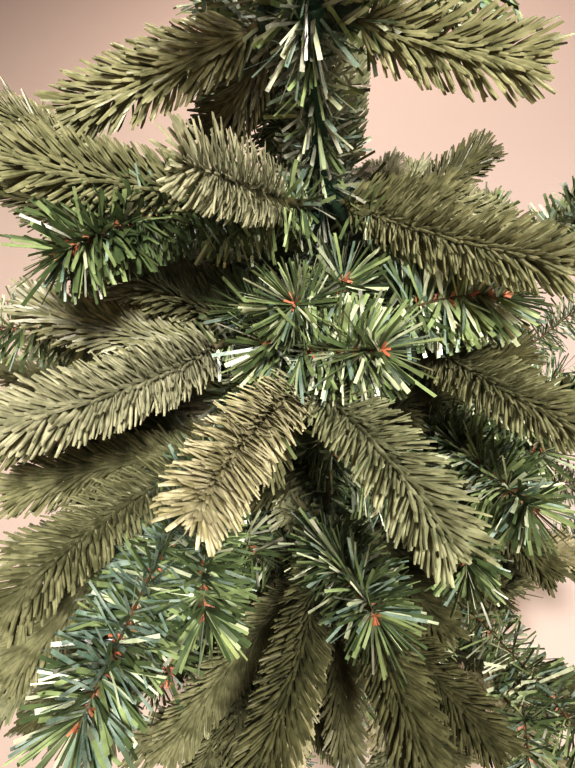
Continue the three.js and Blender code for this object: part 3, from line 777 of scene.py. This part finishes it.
def core_top(spray, length):
    """The share of a tip that its twig or wire reaches, short of the last needles' points."""
    return 1 - CORES[spray["kind"]]["short"] * spray["size"] / length


def sides_and_ups(ways):
    """The level sides and the ups of a way, or of a row of ways along a line."""
    first = ways if ways.ndim == 1 else ways[0]
    upright = np.array([0, 1.0, 0]) if abs(first[2]) > STEEP else np.array([0, 0, 1.0])
    sides = unit(np.cross(upright, ways))
    return sides, np.cross(ways, sides)


def tip_frame(spray, rng):
    """A function for points, ways, sides and ups along the bowed line of a tip, and its length."""
    root, end = spray["root"], spray["end"]
    span = end - root
    length = np.linalg.norm(span)
    side, up = sides_and_ups(span / length)
    bow = (up * rng.uniform(*BOW["up"]) + side * rng.uniform(*BOW["side"])) * BOW["share"] * length
    roll = rng.uniform(-ROLL["play"], ROLL["play"])
    if spray["shown"]:
        sight = EYE - (root + end) / 2
        roll = ROLL["kept"] * roll + ROLL["facing"] * atan2(sight @ side, sight @ up)

    def at(share):
        share = share[:, None]
        point = root + span * share + bow * 4 * share * (1 - share)
        way = unit(span + bow * 4 * (1 - 2 * share))
        ups = up * cos(roll) + side * sin(roll)
        sides = unit(np.cross(ups, way))
        return point, way, sides, np.cross(way, sides)

    return at, length


def needle_rows(at, share, round_angle, lean, roll, reach, width, bends, stand_off=0.0):
    """Rows of needles at shares of a tip: the angle round the twig, the lean away from it, and a roll."""
    point, way, side, up = at(share)
    cr, sr = np.cos(round_angle)[:, None], np.sin(round_angle)[:, None]
    out = side * cr + up * sr
    face = up * cr - side * sr
    face = np.where(cr < 0, -face, face)
    cl, sl = np.cos(lean)[:, None], np.sin(lean)[:, None]
    ways = way * cl + out * sl
    across = np.cross(face, ways)
    face = face * np.cos(roll)[:, None] + across * np.sin(roll)[:, None]
    bend = way * bends[0] + up * bends[1]
    return point + out * np.reshape(stand_off, (-1, 1)), ways, face, bend, reach, width


# %% [markdown]
# Each row of moulded needles is its angle round the twig, counted up from the side, the step
# between needles, a share of the reach, and the lean away from the twig. The rows are mirrored
# from right to left. A needle in an upper row is rolled so that its flat side still looks up.
# The needles are shorter at both ends of the tip, and the last ones lean forward.

# %% Moulded tips
NEEDLE_ROWS = [(-16, 3.5, 0.95, 62), (8, 3.3, 1.0, 62), (30, 3.5, 0.95, 56), (52, 3.6, 0.85, 47),
               (76, 4.0, 0.62, 34), (-50, 9.0, 0.8, 68)]
NEEDLE_REACH = 23.5
NEEDLE_WIDTH = 2.05
NEEDLE_PLAY = {"place": 0.22, "around": 0.08, "roll": 0.17, "lean": 0.05, "reach": 0.05, "width": 0.1}
NEEDLE_CURL = {"forward": (0.25, 0.08), "up": (0.05, 0.07)}
NEEDLE_BODY = ([0, 0.2, 0.8, 1], [0.8, 1, 1, 0.72])
NEEDLE_END_LEAN = {"share": 0.4, "power": 5}
TUFT = {"needles": 14, "depth": 0.02, "lean": (0.15, 0.8), "roll": 0.8, "reach": 0.62}
FIRST_NEEDLE = 0.01
COARSE_POWER = 0.7


def moulded_needles(spray, at, length, rng, coarse):
    """The rows and the end tuft of one moulded tip. Coarse needles are fewer and wider."""
    top = core_top(spray, length)
    play = NEEDLE_PLAY
    rows = []
    for angle, step, reach, lean in NEEDLE_ROWS:
        for side in (1, -1):
            count = int(top * length / (step * coarse))
            share = top * (np.arange(count) + 0.5 + rng.normal(0, play["place"], count)) / count
            around = radians(angle if side > 0 else 180 - angle) + rng.normal(0, play["around"], count)
            roll = side * radians(angle) + rng.normal(0, play["roll"], count)
            rows.append((share, around, np.full(count, radians(lean)), roll, np.full(count, reach)))
    count = int(TUFT["needles"] / coarse)
    rows.append((rng.uniform(top - TUFT["depth"], top, count), rng.uniform(0, 2 * np.pi, count),
                 rng.uniform(*TUFT["lean"], count), rng.normal(0, TUFT["roll"], count),
                 np.full(count, TUFT["reach"])))
    share, around, lean, roll, reach = (np.concatenate(parts) for parts in zip(*rows))
    share, count = np.clip(share, FIRST_NEEDLE, top), len(share)
    lean = lean * (1 - NEEDLE_END_LEAN["share"] * (share / top) ** NEEDLE_END_LEAN["power"])
    lean = lean + rng.normal(0, play["lean"], count)
    growth = 1.0 if spray["shown"] else max(1.0, spray["size"])
    reach = NEEDLE_REACH * growth * reach * np.interp(share, *NEEDLE_BODY)
    reach = reach * rng.normal(1, play["reach"], count)
    width = NEEDLE_WIDTH * growth * coarse ** COARSE_POWER
    width = width * rng.uniform(1 - play["width"], 1 + play["width"], count)
    curl = tuple(rng.normal(*NEEDLE_CURL[key], (count, 1)) for key in ("forward", "up"))
    return needle_rows(at, share, around, lean, roll, reach, width, curl)


# %% Film tips
BUNDLE_STEP = 9.0
STRIP_STEP = 0.38
STRIP_REACH = 31.0
STRIP_WIDTH = 2.3
STRIP_PLAY = {"place": 0.17, "lean": (0.9, 1.75), "reach": (0.78, 1.04), "width": (0.4, 1.25),
              "roll": 0.5, "combed": 0.42, "forward": 0.1, "up": (-0.22, 0.12)}
STRIP_END_LEAN = {"share": 0.55, "power": 9}
PUFF = {"shown": 12, "usual": 3, "spread": 1.0, "lean": (0.4, 1.4), "roll": 0.9,
        "reach": (3.5, 6.5), "width": (1.2, 2.0), "forward": 0.0}


def bundles_of(spray, length):
    """How far along a film tip its strips reach, and how many bundles they come in."""
    top = core_top(spray, length)
    return top, max(3, int(top * length / BUNDLE_STEP))


def film_strips(spray, at, length, rng, coarse):
    """The bundles of strips of one film tip, the last ones fanned forward."""
    top, bundles = bundles_of(spray, length)
    play = STRIP_PLAY
    count = int(top * length / (STRIP_STEP * coarse))
    share = top * (rng.integers(0, bundles, count) + 0.5 + rng.normal(0, play["place"], count)) / bundles
    share = np.clip(share, FIRST_NEEDLE, top)
    lean = rng.uniform(*play["lean"], count)
    lean = lean * (1 - STRIP_END_LEAN["share"] * (share / top) ** STRIP_END_LEAN["power"])
    reach = STRIP_REACH * spray["size"] * rng.uniform(*play["reach"], count)
    width = STRIP_WIDTH * max(1, coarse) ** COARSE_POWER * rng.uniform(*play["width"], count)
    around = rng.uniform(0, 2 * np.pi, count)
    if spray.get("combed"):
        around = np.pi * rng.integers(0, 2, count) + rng.normal(0, play["combed"], count)
    roll = rng.normal(0, play["roll"], count)
    bends = (rng.normal(0, play["forward"], (count, 1)), rng.uniform(*play["up"], (count, 1)))
    return needle_rows(at, share, around, lean, roll, reach, width, bends)


def loose_rows(at, share, rng, play, reach, width, stand_off=0.0):
    """Strips or bits that stand all round a line, with all that varies in them drawn."""
    count = len(share)
    around, lean = rng.uniform(0, 2 * np.pi, count), rng.uniform(*play["lean"], count)
    roll = rng.normal(0, play["roll"], count)
    reach = reach * rng.uniform(*play["reach"], count)
    width = width * rng.uniform(*play["width"], count)
    bends = (play["forward"], rng.uniform(*play["up"], (count, 1)) if "up" in play else 0.0)
    return needle_rows(at, share, around, lean, roll, reach, width, bends, stand_off)


def film_bits(spray, at, length, rng):
    """A puff of short bits between each bundle and the next, and one at the wire's end."""
    top, puffs = bundles_of(spray, length)
    share = top * np.arange(1, puffs + 1) / puffs
    share = np.repeat(share, PUFF["shown" if spray["shown"] else "usual"])
    share = np.clip(share + rng.normal(0, PUFF["spread"] / length, len(share)), 0, top)
    return loose_rows(at, share, rng, PUFF, spray["size"], 1.0)


# %% [markdown]
# ## Round stems
# Twigs and stems are tubes: a ring of points is swept along a row of centres. The same helper
# makes the twigs of the tips, which are thin, and the wire boughs, whose tape winds round them
# as a shallow spiral ridge.

# %% Tubes along lines
def ring_quads(rings, sides):
    """The quads from each ring of points to the next."""
    return [[r * sides + c, r * sides + (c + 1) % sides, (r + 1) * sides + (c + 1) % sides,
             (r + 1) * sides + c] for r in range(rings - 1) for c in range(sides)]


def tube(centres, radii, sides, ridge=0.0, pitch=1.0):
    """Points and quads of a tube. The ridge is a share of the radius that winds round at a pitch."""
    centres, radii = np.asarray(centres, float), np.asarray(radii, float)
    ways = unit(np.gradient(centres, axis=0))
    side, up = sides_and_ups(ways)
    travelled = np.concatenate([[0], np.cumsum(np.linalg.norm(np.diff(centres, axis=0), axis=1))])
    angle = np.arange(sides) * 2 * np.pi / sides
    wave = 1 + ridge * np.cos(angle[None, :] - 2 * np.pi * travelled[:, None] / pitch)
    ring = side[:, None] * np.cos(angle)[None, :, None] + up[:, None] * np.sin(angle)[None, :, None]
    points = centres[:, None] + ring * (radii[:, None] * wave)[..., None]
    rows = len(centres)
    quads = ring_quads(rows, sides)
    ends = [np.arange(sides)[::-1], (rows - 1) * sides + np.arange(sides)]
    caps = [[end[0], end[k], end[k + 1], end[(k + 2) % sides] if k + 2 < sides else end[k + 1]]
            for end in ends for k in range(1, sides - 1, 2)]
    return points.reshape(-1, 3), np.array(quads + caps)


# %% [markdown]
# ## From arrays to pieces
# A `Pile` gathers the arrays of one kind and tint, and becomes one mesh object in metres.

# %% Piles of quads
class Pile:
    def __init__(self):
        self.points, self.quads, self.count = [], [], 0

    def put(self, shape):
        points, quads = shape
        self.points.append(points)
        self.quads.append(quads + self.count)
        self.count += len(points)

    def shape(self):
        return np.concatenate(self.points), np.concatenate(self.quads)


TRIANGLES_MOST = 199_000


def mesh_piece(name, points, quads, material, smooth=False):
    """A mesh object from points in millimetres. A quad whose last two corners are one is a triangle."""
    mesh = bpy.data.meshes.new(name)
    is_triangle = quads[:, 2] == quads[:, 3]
    sizes = np.where(is_triangle, 3, 4)
    keep = np.ones(quads.shape, bool)
    keep[is_triangle, 3] = False
    loops = quads[keep]
    mesh.vertices.add(len(points))
    mesh.vertices.foreach_set("co", (points * MM).astype(np.float32).ravel())
    mesh.loops.add(len(loops))
    mesh.loops.foreach_set("vertex_index", loops.astype(np.int32))
    mesh.polygons.add(len(quads))
    mesh.polygons.foreach_set("loop_start", np.concatenate([[0], np.cumsum(sizes)[:-1]]).astype(np.int32))
    mesh.polygons.foreach_set("use_smooth", np.full(len(quads), smooth))
    mesh.update(calc_edges=True)
    mesh.materials.append(material)
    piece = bpy.data.objects.new(name, mesh)
    bpy.context.scene.collection.objects.link(piece)
    triangles = int((sizes - 2).sum())
    print(f"{name}: {triangles} triangles")
    return piece, triangles


def foliage_pieces(name, pile, material, smooth=False):
    """One piece for a pile, or several when it has more than TRIANGLES_MOST triangles."""
    points, quads = pile.shape()
    parts = ceil(2 * len(quads) / TRIANGLES_MOST)
    total = 0
    for number, share in enumerate(np.array_split(quads, parts)):
        used, places = np.unique(share, return_inverse=True)
        label = name if parts == 1 else f"{name}_{number + 1}"
        piece, triangles = mesh_piece(label, points[used], places.reshape(share.shape), material, smooth)
        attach(piece, "root")
        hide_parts(*MASSES)
        total += triangles
    return total


# %% [markdown]
# ## Dress every tip
# Each spray, solid or finer, gets its own seeded generator, so a change to one doesn't reshuffle
# the rest. Tints are dealt out by spray for moulded tips. Film strips are dealt out one by one,
# because on a real film tip neighbouring strips catch the light so differently, and that light
# and shade is painted into their tints. How often each tint comes depends on the tip: the
# photograph shows some film tips in shade, some lit and one glinting blue, so these get more
# painted shade, more painted highlight or more painted blue reflection. Half of the strips on
# the pole are a greyer green.
#
# The film tips that the photograph shows have more strips than the others, and the tips low in
# the crown have fewer and wider needles, because only their mass is seen.

# %% Dress the tips
MOULDED_SHARES = {"olive": 0.34, "sage": 0.2, "dark": 0.22, "pale": 0.14, "yellow": 0.1}
FILM_ORDER = ("deep", "middle", "bright", "blue", "greyer")
# Shares follow FILM_ORDER: deep green with painted shade, middle, painted highlight, painted blue
# reflection, greyer green. Shaded, lit and blue-glinting tips get more of the painted shade, highlight or
# blue reflection.
FILM_SHARES = {
    None: (0.4, 0.28, 0.16, 0.12, 0.04),
    "shaded": (0.66, 0.2, 0.04, 0.06, 0.04),
    "lit": (0.26, 0.38, 0.22, 0.1, 0.04),
    "frosted": (0.3, 0.22, 0.1, 0.36, 0.02),
    "pole": (0.06, 0.14, 0.12, 0.18, 0.5),
}
COARSE = {"shown_film": 0.42, "usual": 1.0, "low": 1.5}
FINE_LEVELS = 3
FIRST_SEED = {"tips": 1000, "seen": 3000, "collars": 4900, "pole": 4999, "stems": 5000}

piles = {name: Pile() for name in [*MOULDED_TINTS, *FILM_TINTS, "twigs", "wires"]}


def deal(shares, values):
    """The number of the share that each value from 0 to 1 falls to."""
    edges = np.cumsum(shares)
    return np.searchsorted(edges / edges[-1], values)


def put_film(rows, form, shares, rng):
    """Puts each strip onto the pile of the tint that it is dealt."""
    dealt = deal(shares, rng.uniform(size=len(rows[0])))
    for number, tint in enumerate(FILM_ORDER):
        piles[tint].put(blades(form, [part[dealt == number] for part in rows]))


def dress_moulded(spray, at, length, rng, coarse):
    dealt = list(MOULDED_SHARES)[int(deal(list(MOULDED_SHARES.values()), rng.uniform()))]
    form = FOLDED if spray["fine"] else FLAT if coarse == COARSE["usual"] else PLAIN
    piles[spray["tint"] or dealt].put(blades(form, moulded_needles(spray, at, length, rng, coarse)))


def dress_film(spray, at, length, rng, coarse):
    form = BIT if coarse == COARSE["low"] else STRIP
    put_film(film_strips(spray, at, length, rng, coarse), form, FILM_SHARES[spray["tint"]], rng)
    piles["brown"].put(blades(BIT, film_bits(spray, at, length, rng)))


def dress(spray, seed):
    rng = np.random.default_rng(seed)
    at, length = tip_frame(spray, rng)
    coarse = COARSE["shown_film" if spray["shown"] and spray["kind"] == FILM else "usual"]
    if spray["level"] >= FORK_FROM_LEVEL and not spray["fine"]:
        coarse = COARSE["low"]
    (dress_moulded if spray["kind"] == MOULDED else dress_film)(spray, at, length, rng, coarse)
    core = CORES[spray["kind"]]
    share = np.linspace(0, core_top(spray, length), core["rings"])
    piles[core["pile"]].put(tube(at(share)[0], np.interp(share, [0, 1], core["radii"]), core["sides"]))


seed = FIRST_SEED["tips"]
for mass in [leader] + boughs:
    for spray in mass["sprays"]:
        spray["fine"] = spray["shown"] or mass["level"] < FINE_LEVELS
    for spray in mass["sprays"] + mass.get("finer", []):
        dress(spray, seed)
        seed += 1
for number, spray in enumerate(seen):
    dress(spray, FIRST_SEED["seen"] + number)
print("tips dressed:", seed - FIRST_SEED["tips"] + len(seen))

# %% [markdown]
# ## Film on the stems and the pole
# Film is wound onto the bare part of each bough and onto the pole's upper length, which hides
# the steel between the upper whorls. It is the same strip, laid along the stem's curved line. A
# ring of longer strips hides each of the five upper collars.

# %% Film on the stems and the pole
STEM_FILM = {"step": 0.8, "length": 24, "lean": (0.8, 1.35)}
STEM_FILM_START = 0.1
POLE_FILM = {"step": 0.3, "length": 24, "lean": (0.5, 2.6)}
POLE_FILM_LOW = 815
POLE_FILM_HIGH = POLE_TOP
COLLAR_FILM = {"step": 0.3, "length": 32, "lean": (0.5, 2.4)}
COLLAR_FILM_HALF = 14
HIDDEN_COLLARS = 5
WOUND_PLAY = {"roll": 0.9, "reach": (0.7, 1.1), "width": (0.5, 1.2), "forward": 0.05, "up": (-0.12, 0.05)}


def line_frame(line, low, high):
    """The frame of a stretch of a line, for strips wound onto it, and its length."""
    length = np.linalg.norm(curve_point(line, high) - curve_point(line, low))

    def at(share):
        places = [low + s * (high - low) for s in share]
        points = np.array([curve_point(line, place) for place in places])
        ways = np.array([curve_way(line, place) for place in places])
        return points, ways, *sides_and_ups(ways)

    return at, length


def pole_frame(low, high):
    """The frame of the pole between two heights."""
    line = tuple(np.array([0, 0, float(height)]) for height in (low, (low + high) / 2, high))
    return line_frame(line, 0, 1)


def pole_face(share):
    """The radius of the pole, or of the collar at a whorl, at shares of the film's length."""
    heights = POLE_FILM_LOW + share * (POLE_FILM_HIGH - POLE_FILM_LOW)
    on_collar = [any(abs(h - whorl["height"]) < COLLAR_HEIGHT / 2 for whorl in WHORLS) for h in heights]
    return np.array([pole_radius(h) for h in heights]) + COLLAR_DEPTH * np.array(on_collar)


def wind_film(line, seed, film, stand_off=np.zeros_like, shares=FILM_SHARES[None]):
    """Winds strips round a line. Their roots stand off it by a distance for each share of it."""
    at, length = line
    rng = np.random.default_rng(seed)
    share = np.sort(rng.uniform(0, 1, int(length / film["step"])))
    play = {**WOUND_PLAY, **film}
    put_film(loose_rows(at, share, rng, play, film["length"], STRIP_WIDTH, stand_off(share)),
             STRIP, shares, rng)


for order, bough in enumerate(boughs):
    wind_film(line_frame(bough["line"], STEM_FILM_START, bough["stem_share"]),
              FIRST_SEED["stems"] + order, STEM_FILM)
wind_film(pole_frame(POLE_FILM_LOW, POLE_FILM_HIGH), FIRST_SEED["pole"], POLE_FILM, pole_face,
          FILM_SHARES["pole"])
for order, whorl in enumerate(WHORLS[:HIDDEN_COLLARS]):
    radius = pole_radius(whorl["height"]) + COLLAR_DEPTH
    wind_film(pole_frame(whorl["height"] - COLLAR_FILM_HALF, whorl["height"] + COLLAR_FILM_HALF),
              FIRST_SEED["collars"] + order, COLLAR_FILM,
              lambda share, radius=radius: np.full(len(share), radius), FILM_SHARES["pole"])
print("film wound onto the pole,", HIDDEN_COLLARS, "collars and", len(boughs), "stems")

# %% Stems
TAPE_PITCH = 7.0
TAPE_RIDGE = 0.12
STEM_RING_STEP = 7
STEM_LEAST_RINGS = 8
STEM_SIDES = 8
for bough in boughs + [leader]:
    stem_end = curve_point(bough["line"], bough["stem_share"])
    rings = max(STEM_LEAST_RINGS, int(np.linalg.norm(stem_end - bough["line"][0]) / STEM_RING_STEP))
    share = np.linspace(0, 1, rings)
    centres = [curve_point(bough["line"], s * bough["stem_share"]) for s in share]
    radii = np.interp(share, [0, 1], [STEM_ROOT_RADIUS, STEM_END_RADIUS])
    piles["wires"].put(tube(centres, radii, STEM_SIDES, TAPE_RIDGE, TAPE_PITCH))

# %% Make the foliage pieces
total = 0
for tint, material in MOULDED_TINTS.items():
    total += foliage_pieces("needles_moulded_" + tint, piles[tint], material)
for tint, material in FILM_TINTS.items():
    total += foliage_pieces("strips_film_" + tint, piles[tint], material)
total += foliage_pieces("twigs_of_moulded_tips", piles["twigs"], TWIG, True)
total += foliage_pieces("stems_and_wires", piles["wires"], TAPED_WIRE, True)
print("foliage:", total, "triangles")

# %% [markdown]
# ## The pole
# The pole is drawn steel tube in two sections that meet in a sleeve. At each whorl a moulded
# collar is pressed on, with a socket for every bough. A turned profile with rounded corners
# makes pole and collars, and each socket is a short tube round its bough's root.

# %% Turned pieces
TURN_SIDES = 64
ON_AXIS = 0.01


def rounded(profile, radius, steps=4):
    """A profile of (radius, height) corners with every inner corner rounded."""
    corners = [np.array(corner, float) for corner in profile]
    out = [corners[0]]
    for before, corner, after in zip(corners, corners[1:], corners[2:]):
        into, away = before - corner, after - corner
        cut = min(radius, 0.45 * np.linalg.norm(into), 0.45 * np.linalg.norm(away))
        start, end = corner + into / np.linalg.norm(into) * cut, corner + away / np.linalg.norm(away) * cut
        for n in range(steps + 1):
            t = n / steps
            out.append((1 - t) ** 2 * start + 2 * t * (1 - t) * corner + t ** 2 * end)
    return out + [corners[-1]]


def turned(profile, sides=TURN_SIDES, waves=0, wave_depth=0.0, grip=None):
    """Points and quads of a profile turned round Z. Waves flute the rows inside the grip's heights."""
    angle = np.arange(sides) * 2 * np.pi / sides
    rows = []
    for radius, height in profile:
        fluted = grip and grip[0] <= height <= grip[1] and radius > grip[2]
        radii = radius + (wave_depth * np.cos(waves * angle) if fluted else 0 * angle)
        rows.append(np.stack([radii * np.cos(angle), radii * np.sin(angle), np.full(sides, height)], axis=1))
    points = np.concatenate(rows)
    return points, np.array(ring_quads(len(profile), sides))


def rigid_piece(name, shape, material, slot, *nodes):
    piece, _ = mesh_piece(name, *shape, material, True)
    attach(piece, "root")
    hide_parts(*nodes)
    edges = piece.modifiers.new("edges", "WEIGHTED_NORMAL")
    edges.keep_sharp = True


# %% Pole
HUB_FLOOR = 5
POLE_EDGE = 1.5


def pole_profile():
    foot = HUB_FLOOR + CLEARANCE
    profile = [(ON_AXIS, foot), (POLE_RADIUS, foot)]
    steps = [(whorl["height"], COLLAR_HEIGHT / 2, True) for whorl in WHORLS]
    steps.append((POLE_SLEEVE["height"], POLE_SLEEVE["length"] / 2, False))
    for height, half, collar in sorted(steps):
        radius = pole_radius(height) + COLLAR_DEPTH if collar else POLE_SLEEVE["radius"]
        profile += [(pole_radius(height - half), height - half), (radius, height - half),
                    (radius, height + half), (pole_radius(height + half), height + half)]
    return profile + [(POLE_TOP_RADIUS, POLE_TOP), (ON_AXIS, POLE_TOP)]


pole_shape = turned(rounded(pole_profile(), POLE_EDGE))
rigid_piece("pole_with_collars", pole_shape, COATED_STEEL, "pole_steel", "trunk_pole")

# %% Sockets
SOCKET = {"length": 15, "radius": 6.4, "lip": 7.2, "sides": 16}
SOCKET_RINGS = [(-0.28, "radius"), (-0.2, "radius"), (0.7, "radius"), (0.74, "lip"), (0.96, "lip"),
                (1.0, "radius")]
sockets = Pile()
for bough in boughs:
    root, way = bough["line"][0], curve_way(bough["line"], 0) * np.array([1, 1, 0])
    centres = [root + unit(way) * SOCKET["length"] * share for share, _ in SOCKET_RINGS]
    sockets.put(tube(centres, [SOCKET[size] for _, size in SOCKET_RINGS], SOCKET["sides"]))
socket_piece, _ = mesh_piece("bough_sockets", *sockets.shape(), SOCKET_PLASTIC)
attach(socket_piece, "root")
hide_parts("trunk_pole")

# %% [markdown]
# ## The stand
# The photograph doesn't show the foot, so the tree gets the plain stand that such trees have: a
# pressed steel cup with a rolled rim and a flange, four bent steel bars with rubber shoes, and
# one zinc-plated screw with a knurled grip. Legs and shoes take the shape of their solids, with
# their edges rounded by a bevel, as bending and moulding leave them.

# %% Cup and screw
CUP = {"flange": 34, "flange_top": 4, "radius": 19.5, "rim": 21, "rim_low": 147, "rim_middle": 148.2,
       "height": 150, "edge": 1.4, "wall": 3.2}
BORE = POLE_RADIUS + CLEARANCE
cup_profile = [(ON_AXIS, 0), (CUP["flange"], 0), (CUP["flange"], CUP["flange_top"]),
               (CUP["radius"], CUP["flange_top"]), (CUP["radius"], CUP["rim_low"]),
               (CUP["rim"], CUP["rim_middle"]), (CUP["radius"], CUP["height"]), (BORE, CUP["height"]),
               (BORE, HUB_FLOOR), (ON_AXIS, HUB_FLOOR)]
cup_shape = turned(rounded(cup_profile, CUP["edge"]))
rigid_piece("stand_cup", cup_shape, COATED_STEEL, "stand_steel", "stand_hub")

SCREW = {"height": 96, "length": 26, "shank": 3, "sides": 96}
THREAD = {"turns": 14, "start": 0.6, "pitch": 1.15, "depth": 0.35, "flank": 0.55}
SHOULDER = {"radius": 5.2, "height": 1.2}
GRIP = {"radius": 11, "depth": 9, "chamfer": 1, "round": 1.4, "flutes": 24, "flute_depth": 0.3,
        "fluted_from": 9}
DISH = {"radius": 6, "depth": 1}
grip_start, screw_end = SCREW["length"] - GRIP["depth"], SCREW["length"]
screw_profile = [(ON_AXIS, 0)]
for turn_number in range(THREAD["turns"]):
    height = THREAD["start"] + turn_number * THREAD["pitch"]
    screw_profile += [(SCREW["shank"] - THREAD["depth"], height), (SCREW["shank"], height + THREAD["flank"])]
shoulder_top = grip_start + SHOULDER["height"]
screw_profile += [
    (SCREW["shank"], grip_start), (SHOULDER["radius"], grip_start), (SHOULDER["radius"], shoulder_top),
    (GRIP["radius"] - GRIP["chamfer"], shoulder_top), (GRIP["radius"], shoulder_top + GRIP["chamfer"]),
    (GRIP["radius"], screw_end - GRIP["round"]), (GRIP["radius"] - GRIP["round"], screw_end),
    (DISH["radius"], screw_end), (DISH["radius"] - DISH["depth"], screw_end - DISH["depth"]),
    (ON_AXIS, screw_end - DISH["depth"])]
fluted = (grip_start + 2 * GRIP["chamfer"], screw_end - DISH["depth"], GRIP["fluted_from"])
points, quads = turned(screw_profile, SCREW["sides"], GRIP["flutes"], GRIP["flute_depth"], fluted)
screw_start = BORE + CUP["wall"] + CLEARANCE
points = np.stack([points[:, 0], points[:, 2] + screw_start, points[:, 1] + SCREW["height"]], axis=1)
rigid_piece("stand_knurled_screw", (points, quads[:, ::-1]), ZINC, "screw_steel", "stand_screw")


# %% Legs and shoes
WELD_GAP = 0.00002
FLAT_ANGLE = 2
BEVEL_ANGLE = 40
BEVEL_SEGMENTS = 3
LEG_BEVEL_MM = 2.5
SHOE_BEVEL_MM = 1.6


def softened_copy(name, node, material, bevel_mm):
    """A copy of a solid with its flat faces whole again and its edges rounded."""
    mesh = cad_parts[node].data.copy()
    piece = bpy.data.objects.new(name, mesh)
    bpy.context.scene.collection.objects.link(piece)
    mesh.materials.clear()
    mesh.materials.append(material)
    weld = piece.modifiers.new("weld", "WELD")
    weld.merge_threshold = WELD_GAP
    flat = piece.modifiers.new("flat", "DECIMATE")
    flat.decimate_type = "DISSOLVE"
    flat.angle_limit = radians(FLAT_ANGLE)
    bevel = piece.modifiers.new("bevel", "BEVEL")
    bevel.width = bevel_mm * MM
    bevel.segments = BEVEL_SEGMENTS
    bevel.limit_method = "ANGLE"
    bevel.angle_limit = radians(BEVEL_ANGLE)
    for polygon in mesh.polygons:
        polygon.use_smooth = True
    piece.modifiers.new("edges", "WEIGHTED_NORMAL").keep_sharp = True
    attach(piece, "root")
    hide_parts(node)


for number in range(1, 5):
    softened_copy(f"stand_bent_leg_{number}", f"stand_leg_{number}", COATED_STEEL,
                  LEG_BEVEL_MM)
    softened_copy(f"stand_shoe_{number}", f"stand_foot_{number}", RUBBER, SHOE_BEVEL_MM)
print("legs and shoes:", number, "of each")

# %% [markdown]
# ## Floor and light
# A plain pale floor and soft light. In the photograph a lamp nearly above the crown leads, so a
# small key lamp hangs there, and a weaker and warmer one fills from behind the camera. Lamps at
# both sides, behind and low in front light what the photograph doesn't show, and a broad one
# brightens the floor behind the tree. The world stands for the room: pale walls round the
# horizon and a dark ceiling. The view's gamma deepens the shadows, as a phone's picture does.

# %% Floor
FLOOR_HALF = 12.0
FLOOR_ROUGHNESS = 0.85
FLOOR_CLOUD = {"Scale": 1.2, "Detail": 3.0}
floor_material, floor_tree = start_material("matt_floor_paint")
floor_place = add(floor_tree, "TexCoord").outputs["Object"]
cloud = add(floor_tree, "TexNoise", FLOOR_CLOUD, {"Vector": floor_place}).outputs["Fac"]
floor_colour = ramp(floor_tree, cloud, ((0, 0xe8ddd4), (1, 0xf0e6de)))
finish_material(floor_tree, add(floor_tree, "BsdfPrincipled", {"Roughness": FLOOR_ROUGHNESS},
                                {"Base Color": floor_colour}))
corners = np.array([[x, y, 0.0] for x, y in ((-1, -1), (1, -1), (1, 1), (-1, 1))]) * FLOOR_HALF / MM
floor, _ = mesh_piece("floor", corners, np.array([[0, 1, 2, 3]]), floor_material)

# %% [markdown]
# Each lamp is its name, place, target, size, power and colour, in metres and watts.

# %% Light
SIDE_WHITE = 0xfff0e4
LAMPS = [
    ("key_lamp", (0.3, -0.5, 2.6), (0, 0, 1.0), 0.25, 60, 0xfff5f3),
    ("fill_lamp", (-0.8, -1.8, 2.4), (0, 0, 1.0), 0.8, 12, 0xffd298),
    ("left_lamp", (-2.4, 0.6, 1.2), (0, 0, 0.95), 0.8, 13, SIDE_WHITE),
    ("right_lamp", (2.4, 0.6, 1.2), (0, 0, 0.95), 0.8, 13, SIDE_WHITE),
    ("rear_lamp", (0, 2.6, 1.4), (0, 0, 0.95), 0.8, 16, SIDE_WHITE),
    ("low_front_lamp", (0, -2.6, 1.0), (0, 0, 0.8), 0.8, 10, SIDE_WHITE),
    ("back_lamp", (0.4, 3.4, 2.2), (0.2, 1.6, 0), 2.0, 34, 0xffdcd0),
]
WALLS = (0.1, 0xe0cdb8)
CEILING = (0.4, 0x1f1a10)
ROOM_STRENGTH = 1.4
VIEW_GAMMA = 0.76


def soft_light(name, place, target, size, power, colour):
    lamp = bpy.data.lights.new(name, "AREA")
    lamp.shape = "DISK"
    lamp.size = size
    lamp.energy = power
    lamp.color = linear(colour)[:3]
    holder = bpy.data.objects.new(name, lamp)
    bpy.context.scene.collection.objects.link(holder)
    holder.location = place
    holder.rotation_euler = (Vector(target) - Vector(place)).to_track_quat("-Z", "Y").to_euler()


for lamp_row in LAMPS:
    soft_light(*lamp_row)
world = bpy.data.worlds.new("pale_room")
world.use_nodes = True
room_tree = world.node_tree
ways_out = add(room_tree, "TexCoord").outputs["Generated"]
way_up = add(room_tree, "SeparateXYZ", links={"Vector": ways_out}).outputs["Z"]
background = room_tree.nodes["Background"]
room_tree.links.new(ramp(room_tree, way_up, (WALLS, CEILING)), background.inputs["Color"])
background.inputs["Strength"].default_value = ROOM_STRENGTH
bpy.context.scene.world = world
bpy.context.scene.view_settings.view_transform = "Standard"
bpy.context.scene.view_settings.gamma = VIEW_GAMMA
print("lamps:", len(LAMPS))

# %% [markdown]
# ## Finish
# The view layer is brought up to date. The dressed tree must stay close to the box of the
# solids.

# %% Finish
bpy.context.view_layer.update()
